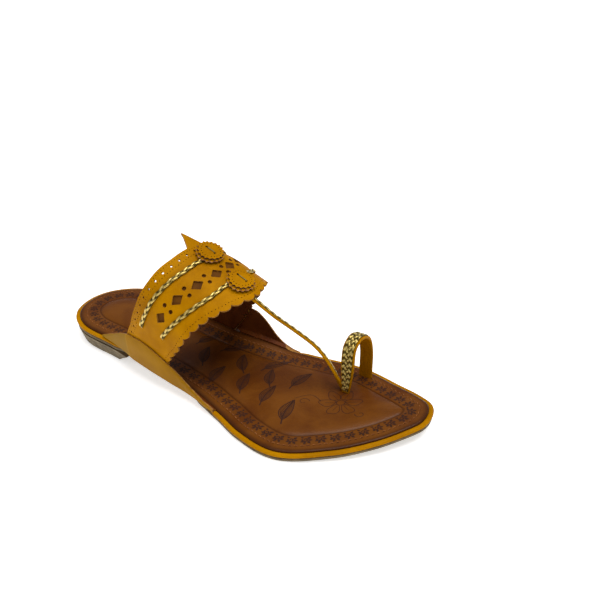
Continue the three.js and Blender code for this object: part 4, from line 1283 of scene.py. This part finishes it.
def route_curve(points, steps, span=(0.0, 1.0)):
    """A smooth line through points, with its length in even shares between them."""
    points = np.asarray(points, float)
    whole = np.concatenate([2 * points[:1] - points[1:2], points, 2 * points[-1:] - points[-2:-1]])
    at = np.linspace(span[0], span[1], steps) * (len(points) - 1)
    i = np.clip(at.astype(int), 0, len(points) - 2)
    t = (at - i)[:, None]
    p0, p1, p2, p3 = whole[i], whole[i + 1], whole[i + 2], whole[i + 3]
    d0, d1, d2 = (np.sqrt(np.linalg.norm(b - a, axis=1))[:, None] for a, b in ((p0, p1), (p1, p2), (p2, p3)))
    m1 = ((p1 - p0) / d0 - (p2 - p0) / (d0 + d1) + (p2 - p1) / d1) * d1
    m2 = ((p2 - p1) / d1 - (p3 - p1) / (d1 + d2) + (p3 - p2) / d2) * d1
    rest = 1 - t
    return rest**2 * (1 + 2 * t) * p1 + t**2 * (3 - 2 * t) * p2 + t * rest * (rest * m1 - t * m2)


def strap_wide(along, share):
    """Across the T-strap: level, and banked so that its face turns towards the big toe."""
    level = unit(np.column_stack([-along[:, 1], along[:, 0], np.zeros(len(along))]))
    bank = np.radians(bank_curve(share))[:, None]
    return level * np.cos(bank) - np.cross(along, level) * np.sin(bank)


def ring_wide(along, share):
    """Across the toe ring: straight back all the way over."""
    return np.tile((-1.0, 0.0, 0.0), (len(along), 1))


def ring_full(share):
    """How much of its width the toe ring keeps: it narrows down to the slit at its lateral foot."""
    up_foot = np.clip(share / RING_FOOT["long"], 0, 1) ** RING_FOOT["power"]
    return RING_FOOT["least"] + (1 - RING_FOOT["least"]) * up_foot


def strap_frame(route, wide_of, steps, span=(0.0, 1.0)):
    """A strap's line, with its directions across and out. Across is shorter where it narrows."""
    line = route_curve(route, steps, span)
    share = np.linspace(*span, steps)
    along = unit(np.gradient(line, axis=0))
    wide = unit(wide_of(along, share))
    out = unit(np.cross(along, wide))
    full = ring_full(share) if wide_of is ring_wide else np.ones(steps)
    return line, wide * full[:, None], out


def strap_section(wide, thick, bed):
    """A strap's section: flat below, a shallow bed for the braid above and rolled edges."""
    half, h, rim = wide / 2, thick / 2, (wide - bed) / 2
    lower_side = [(half - inward, rise * h) for inward, rise in STRAP_LOWER_SIDE]
    upper_side = [(half - inward * rim, rise * h) for inward, rise in STRAP_ROLL]
    right_half = [(0.0, -h)] + lower_side + upper_side + [(0.0, STRAP_BED_RISE * h)]
    left_half = [(-w, n) for w, n in right_half[::-1][1:-1]]
    return np.array(right_half + left_half)


for name, route, wide_of, size in (
    ("t_strap", STRAP_ROUTE, strap_wide, STRAP),
    ("toe_ring", RING_ROUTE, ring_wide, RING),
):
    line, wide, out = strap_frame(route, wide_of, STRAP_STEPS)
    section = strap_section(**size)
    points = line[:, None] + wide[:, None] * section[None, :, :1] + out[:, None] * section[None, :, 1:]
    faces = ring_faces(len(line), len(section), capped=True)
    made(name, points.reshape(-1, 3), faces, "upper_leather", [mustard], crease=50)


# Braids. Flat plaits of gold-foiled leather strips are sewn across the band, along the T-strap and
# over the toe ring. Each strip weaves over and under the others from edge to edge, and its colour
# is a painted highlight where it lies on top and painted shade where it dives under.
BRAID_STEP = 0.3
BRAID_TUCK = {"long": 1.2, "least": 0.25}
BAND_BRAID_POINTS = 300
STRAP_BRAID_POINTS = 400
STRIP_SIDES = 12
STRIP_CREASE = 70
# Painted light: the deep gold is painted shade where a strip dives under, the bright gold a painted
# highlight where it lies on top.
GOLD_SHADED = srgb(86, 70, 14)
GOLD_LIT = srgb(210, 184, 104)
GOLD_LIGHT_MARK = "over"
PLAITS = {
    "band": {
        "strands": 3, "wide": 2.8, "cycle": 17.0, "strip": 1.2, "thick": 0.75, "bed": 0.1, "weave": 0.35,
    },
    "strap": {
        "strands": 3, "wide": 2.9, "cycle": 14.0, "strip": 1.25, "thick": 0.5, "bed": 0.5, "weave": 0.2,
    },
    "ring": {
        "strands": 7, "wide": 6.6, "cycle": 24.0, "strip": 1.3, "thick": 0.5, "bed": 0.6, "weave": 0.25,
    },
}


def strand_tree():
    """Sweeps a flat strip along every line of the mesh, its face turned to the line's up."""
    inputs = {"Half Width": "NodeSocketFloat", "Half Thickness": "NodeSocketFloat"}
    inputs["Finish"] = "NodeSocketMaterial"
    tree, start, values = new_tree("braid_strand", inputs)
    line = start.node("GeometryNodeMeshToCurve", None, {"Mesh": values["Geometry"]})
    facing = {"Curve": line, "Normal": named(start, "up", "FLOAT_VECTOR")}
    faced = start.node("GeometryNodeSetCurveNormal", {"mode": "FREE"}, facing)
    circle = {"Resolution": STRIP_SIDES, "Radius": 1.0}
    round_strip = start.node("GeometryNodeCurvePrimitiveCircle", None, circle)
    size = {"X": values["Half Thickness"], "Y": values["Half Width"], "Z": 1.0}
    squeeze = start.node("ShaderNodeCombineXYZ", None, size)
    strip = start.node("GeometryNodeTransform", None, {"Geometry": round_strip, "Scale": squeeze})
    sweep = {"Curve": faced, "Profile Curve": strip, "Fill Caps": True}
    swept = start.node("GeometryNodeCurveToMesh", None, sweep)
    return end_tree(tree, start, swept, values["Finish"])


def gold_colour(start, place):
    """Painted light: a painted highlight where a strip lies on top and painted shade where it dives under
    the next.
    """
    over = start.node("ShaderNodeAttribute", {"attribute_name": GOLD_LIGHT_MARK}, output="Fac")
    return over.clamped(0.35, 1.0).mixed(GOLD_SHADED, GOLD_LIT)


gold = surface("gold_foil", gold_colour, matt(3.0, 0.25, 0.15), None, {"Metallic": 0.7})
strand_sweep = strand_tree()


def gold_strips(name, lines, ups, light_shares, wide, thick):
    """Strips of gold leather along lines of one length, lying face up: one piece."""
    count = len(lines[0])
    edges = [(k * count + i, k * count + i + 1) for k in range(len(lines)) for i in range(count - 1)]
    inputs = {"Half Width": wide / 2 * MM, "Half Thickness": thick / 2 * MM, "Finish": gold}
    marks = {"up": np.concatenate(ups), GOLD_LIGHT_MARK: np.concatenate(light_shares)}
    points = in_part(np.concatenate(lines))
    return grown(name, strand_sweep, points, marks, inputs, edges, STRIP_CREASE)


def plait(name, line, wide, out, kind):
    """The strips of a plait over a line, from its directions across and out."""
    row = PLAITS[kind]
    at = np.arange(0, travelled(line)[-1], BRAID_STEP)
    middle_line, side, up = (at_distance(at, line, values) for values in (line, wide, out))
    end = np.clip(np.minimum(at, at[-1] - at) / BRAID_TUCK["long"], 0, 1)
    tucked = BRAID_TUCK["least"] + (1 - BRAID_TUCK["least"]) * end
    lines, light_shares = [], []
    for k in range(row["strands"]):
        phase = 2 * math.pi * (at / row["cycle"] + k / row["strands"])
        sideways = (row["wide"] - row["strip"]) / 2 * np.sin(phase)
        over = (1 + np.sin((row["strands"] - 1) * phase)) / 2
        height = (row["bed"] + 2 * row["weave"] * over + row["thick"] / 2) * tucked
        lines.append(middle_line + side * sideways[:, None] + up * height[:, None])
        light_shares.append(over)
    return gold_strips(name, lines, [up] * row["strands"], light_shares, row["strip"], row["thick"])


for key, row in BRAID_LINES.items():
    across = np.linspace(-BRAID_END, BRAID_END, BAND_BRAID_POINTS)
    x = band_x(across, braid_share(row, across))
    line = instep(x, across, band_relief(x, across))
    up_here = instep_normal(x, across)
    wide = np.cross(up_here, unit(np.gradient(line, axis=0)))
    braid = plait("braid_band_" + key, line, wide, up_here, "band")
    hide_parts("band_braid_" + key)

for kind, route, wide_of, span in (
    ("strap", STRAP_ROUTE, strap_wide, (0.1, 0.9)),
    ("ring", RING_ROUTE, ring_wide, (0.04, 0.96)),
):
    braid = plait("braid_" + kind, *strap_frame(route, wide_of, STRAP_BRAID_POINTS, span), kind)
    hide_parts(kind + "_braid")


# Rosettes. Two rounds of mustard leather with pinked edges lie one on the other over each braid
# at the crest, tied down by a short gold thong through a slit and a hole.
ROSETTES = {
    "rear": {"across": 0.03, "line": 0.215, "far_rise": 1.5},
    "front": {"across": 0.008, "line": 0.735, "far_rise": 0.0},
}
ROSETTE_SPAN = {"x": 8.0, "across": 0.08, "above": 2.0}
ROSETTE_TEETH = 18
ROSETTE_TOOTH = 0.9
ROSETTE_GRID = 0.9
ROSETTE_DISCS = {
    "base": {"radius": 8.6, "level": 1.5, "thick": 0.8, "turn": 0.0, "lift": 0.0},
    "top": {"radius": 7.8, "level": 2.6, "thick": 0.8, "turn": 1.0, "lift": 0.3},
}
ROSETTE_WAVES = {"count": 3, "height": 0.45, "first": 1.0}
ROSETTE_DOTS = {"ring": 5.7, "count": 20, "radius": 0.3, "sides": 6}
THONG = {"half": 3.3, "past": 1.02, "wide": 0.8, "thick": 0.6, "rise": 0.3, "dive": 1.1, "sway": 0.15}
# The thong's gold is painted half-way between the painted shade and the painted highlight.
THONG_LIGHT = 0.5
THONG_HOLE = round_shape(0.8, 12)
THONG_SLIT = THONG_HOLE * np.array((0.45, 1.5))
THONG_POINTS = 24
# The top rounds' cut edge is a dark brown, deepened to near-black with painted shade for the shadow line
# under their rims.
PINKED_EDGES = {
    "base": ("pinked_edge_pale", srgb(150, 96, 54), srgb(196, 148, 100)),
    "top": ("pinked_edge_shaded", srgb(48, 18, 8), srgb(92, 46, 14)),
}
pinked_edges = {
    layer: surface(name, cloudy(1.2, 2.0, dark, light), matt(1.0, 0.6))
    for layer, (name, dark, light) in PINKED_EDGES.items()
}
top_holes = [np.array((-THONG["half"], 0.0)) + THONG_HOLE, np.array((THONG["half"], 0.0)) + THONG_SLIT]
dot_angle = 2 * math.pi * (np.arange(ROSETTE_DOTS["count"]) + 0.5) / ROSETTE_DOTS["count"]
dot_places = ROSETTE_DOTS["ring"] * np.column_stack([np.cos(dot_angle), np.sin(dot_angle)])
dots = [place + round_shape(ROSETTE_DOTS["radius"], ROSETTE_DOTS["sides"]) for place in dot_places]
disc_holes = {"base": [], "top": dots + top_holes}


def pinked_round(radius, turn):
    """The zigzag edge of a round of leather, with a point half-way along each side of a tooth."""
    corner = np.arange(2 * ROSETTE_TEETH)
    reach = radius - ROSETTE_TOOTH * (corner % 2)
    angle = math.pi * (corner + turn) / ROSETTE_TEETH
    edge = reach[:, None] * np.column_stack([np.cos(angle), np.sin(angle)])
    return np.stack([edge, (edge + np.roll(edge, -1, axis=0)) / 2], axis=1).reshape(-1, 2)


for key, rosette in ROSETTES.items():
    x0, across0 = float(band_x(rosette["across"], rosette["line"])), rosette["across"]
    both = np.array((-1, 1))
    span_x = instep(x0 + both * ROSETTE_SPAN["x"], across0, ROSETTE_SPAN["above"])
    span_over = instep(x0, across0 + both * ROSETTE_SPAN["across"], ROSETTE_SPAN["above"])
    per_x = np.linalg.norm(span_x[1] - span_x[0]) / (2 * ROSETTE_SPAN["x"])
    per_across = np.linalg.norm(span_over[1] - span_over[0]) / (2 * ROSETTE_SPAN["across"])

    def over_crest(flat, height):
        """Disc points over the crest at heights above the band, which stiffly rise on the far side."""
        far = np.clip(flat[:, 1] / ROSETTE_DISCS["base"]["radius"], 0, 1)
        height = height + rosette["far_rise"] * far**2
        return instep(x0 + flat[:, 0] / per_x, across0 + flat[:, 1] / per_across, height)

    for layer, disc in ROSETTE_DISCS.items():
        edge = pinked_round(disc["radius"], disc["turn"])
        places, triangles = cut_leather(edge, disc_holes[layer], ROSETTE_GRID)
        rim_share = np.linalg.norm(places, axis=1) / disc["radius"]
        angle = np.arctan2(places[:, 1], places[:, 0])
        phase = ROSETTE_WAVES["count"] * angle + ROSETTE_WAVES["first"] + len(key)
        waves = 1 + ROSETTE_WAVES["height"] * np.sin(phase)
        height = disc["level"] + disc["thick"] + disc["lift"] * rim_share**4 * waves
        points = np.concatenate([over_crest(places, height), over_crest(places, height - disc["thick"])])
        faces, kinds = wall_faces(triangles, len(places))
        finish = [mustard, lining, pinked_edges[layer]]
        round_piece = made(f"rosette_{key}_{layer}_round", points, faces, "upper_leather", finish, kinds)
        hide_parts(f"rosette_{key}_{layer}")
    t = np.linspace(-1, 1, THONG_POINTS)
    thong_flat = np.column_stack([THONG["half"] * THONG["past"] * t, THONG["sway"] * np.sin(3 * t)])
    top_face = ROSETTE_DISCS["top"]["level"] + ROSETTE_DISCS["top"]["thick"]
    thong_line = over_crest(thong_flat, top_face + THONG["rise"] - THONG["dive"] * t**8)
    thong_up = np.tile(instep_normal(x0, across0), (len(t), 1))
    thong_light = np.full(len(t), THONG_LIGHT)
    thong_size = (THONG["wide"], THONG["thick"])
    gold_strips(f"rosette_{key}_thong", [thong_line], [thong_up], [thong_light], *thong_size)
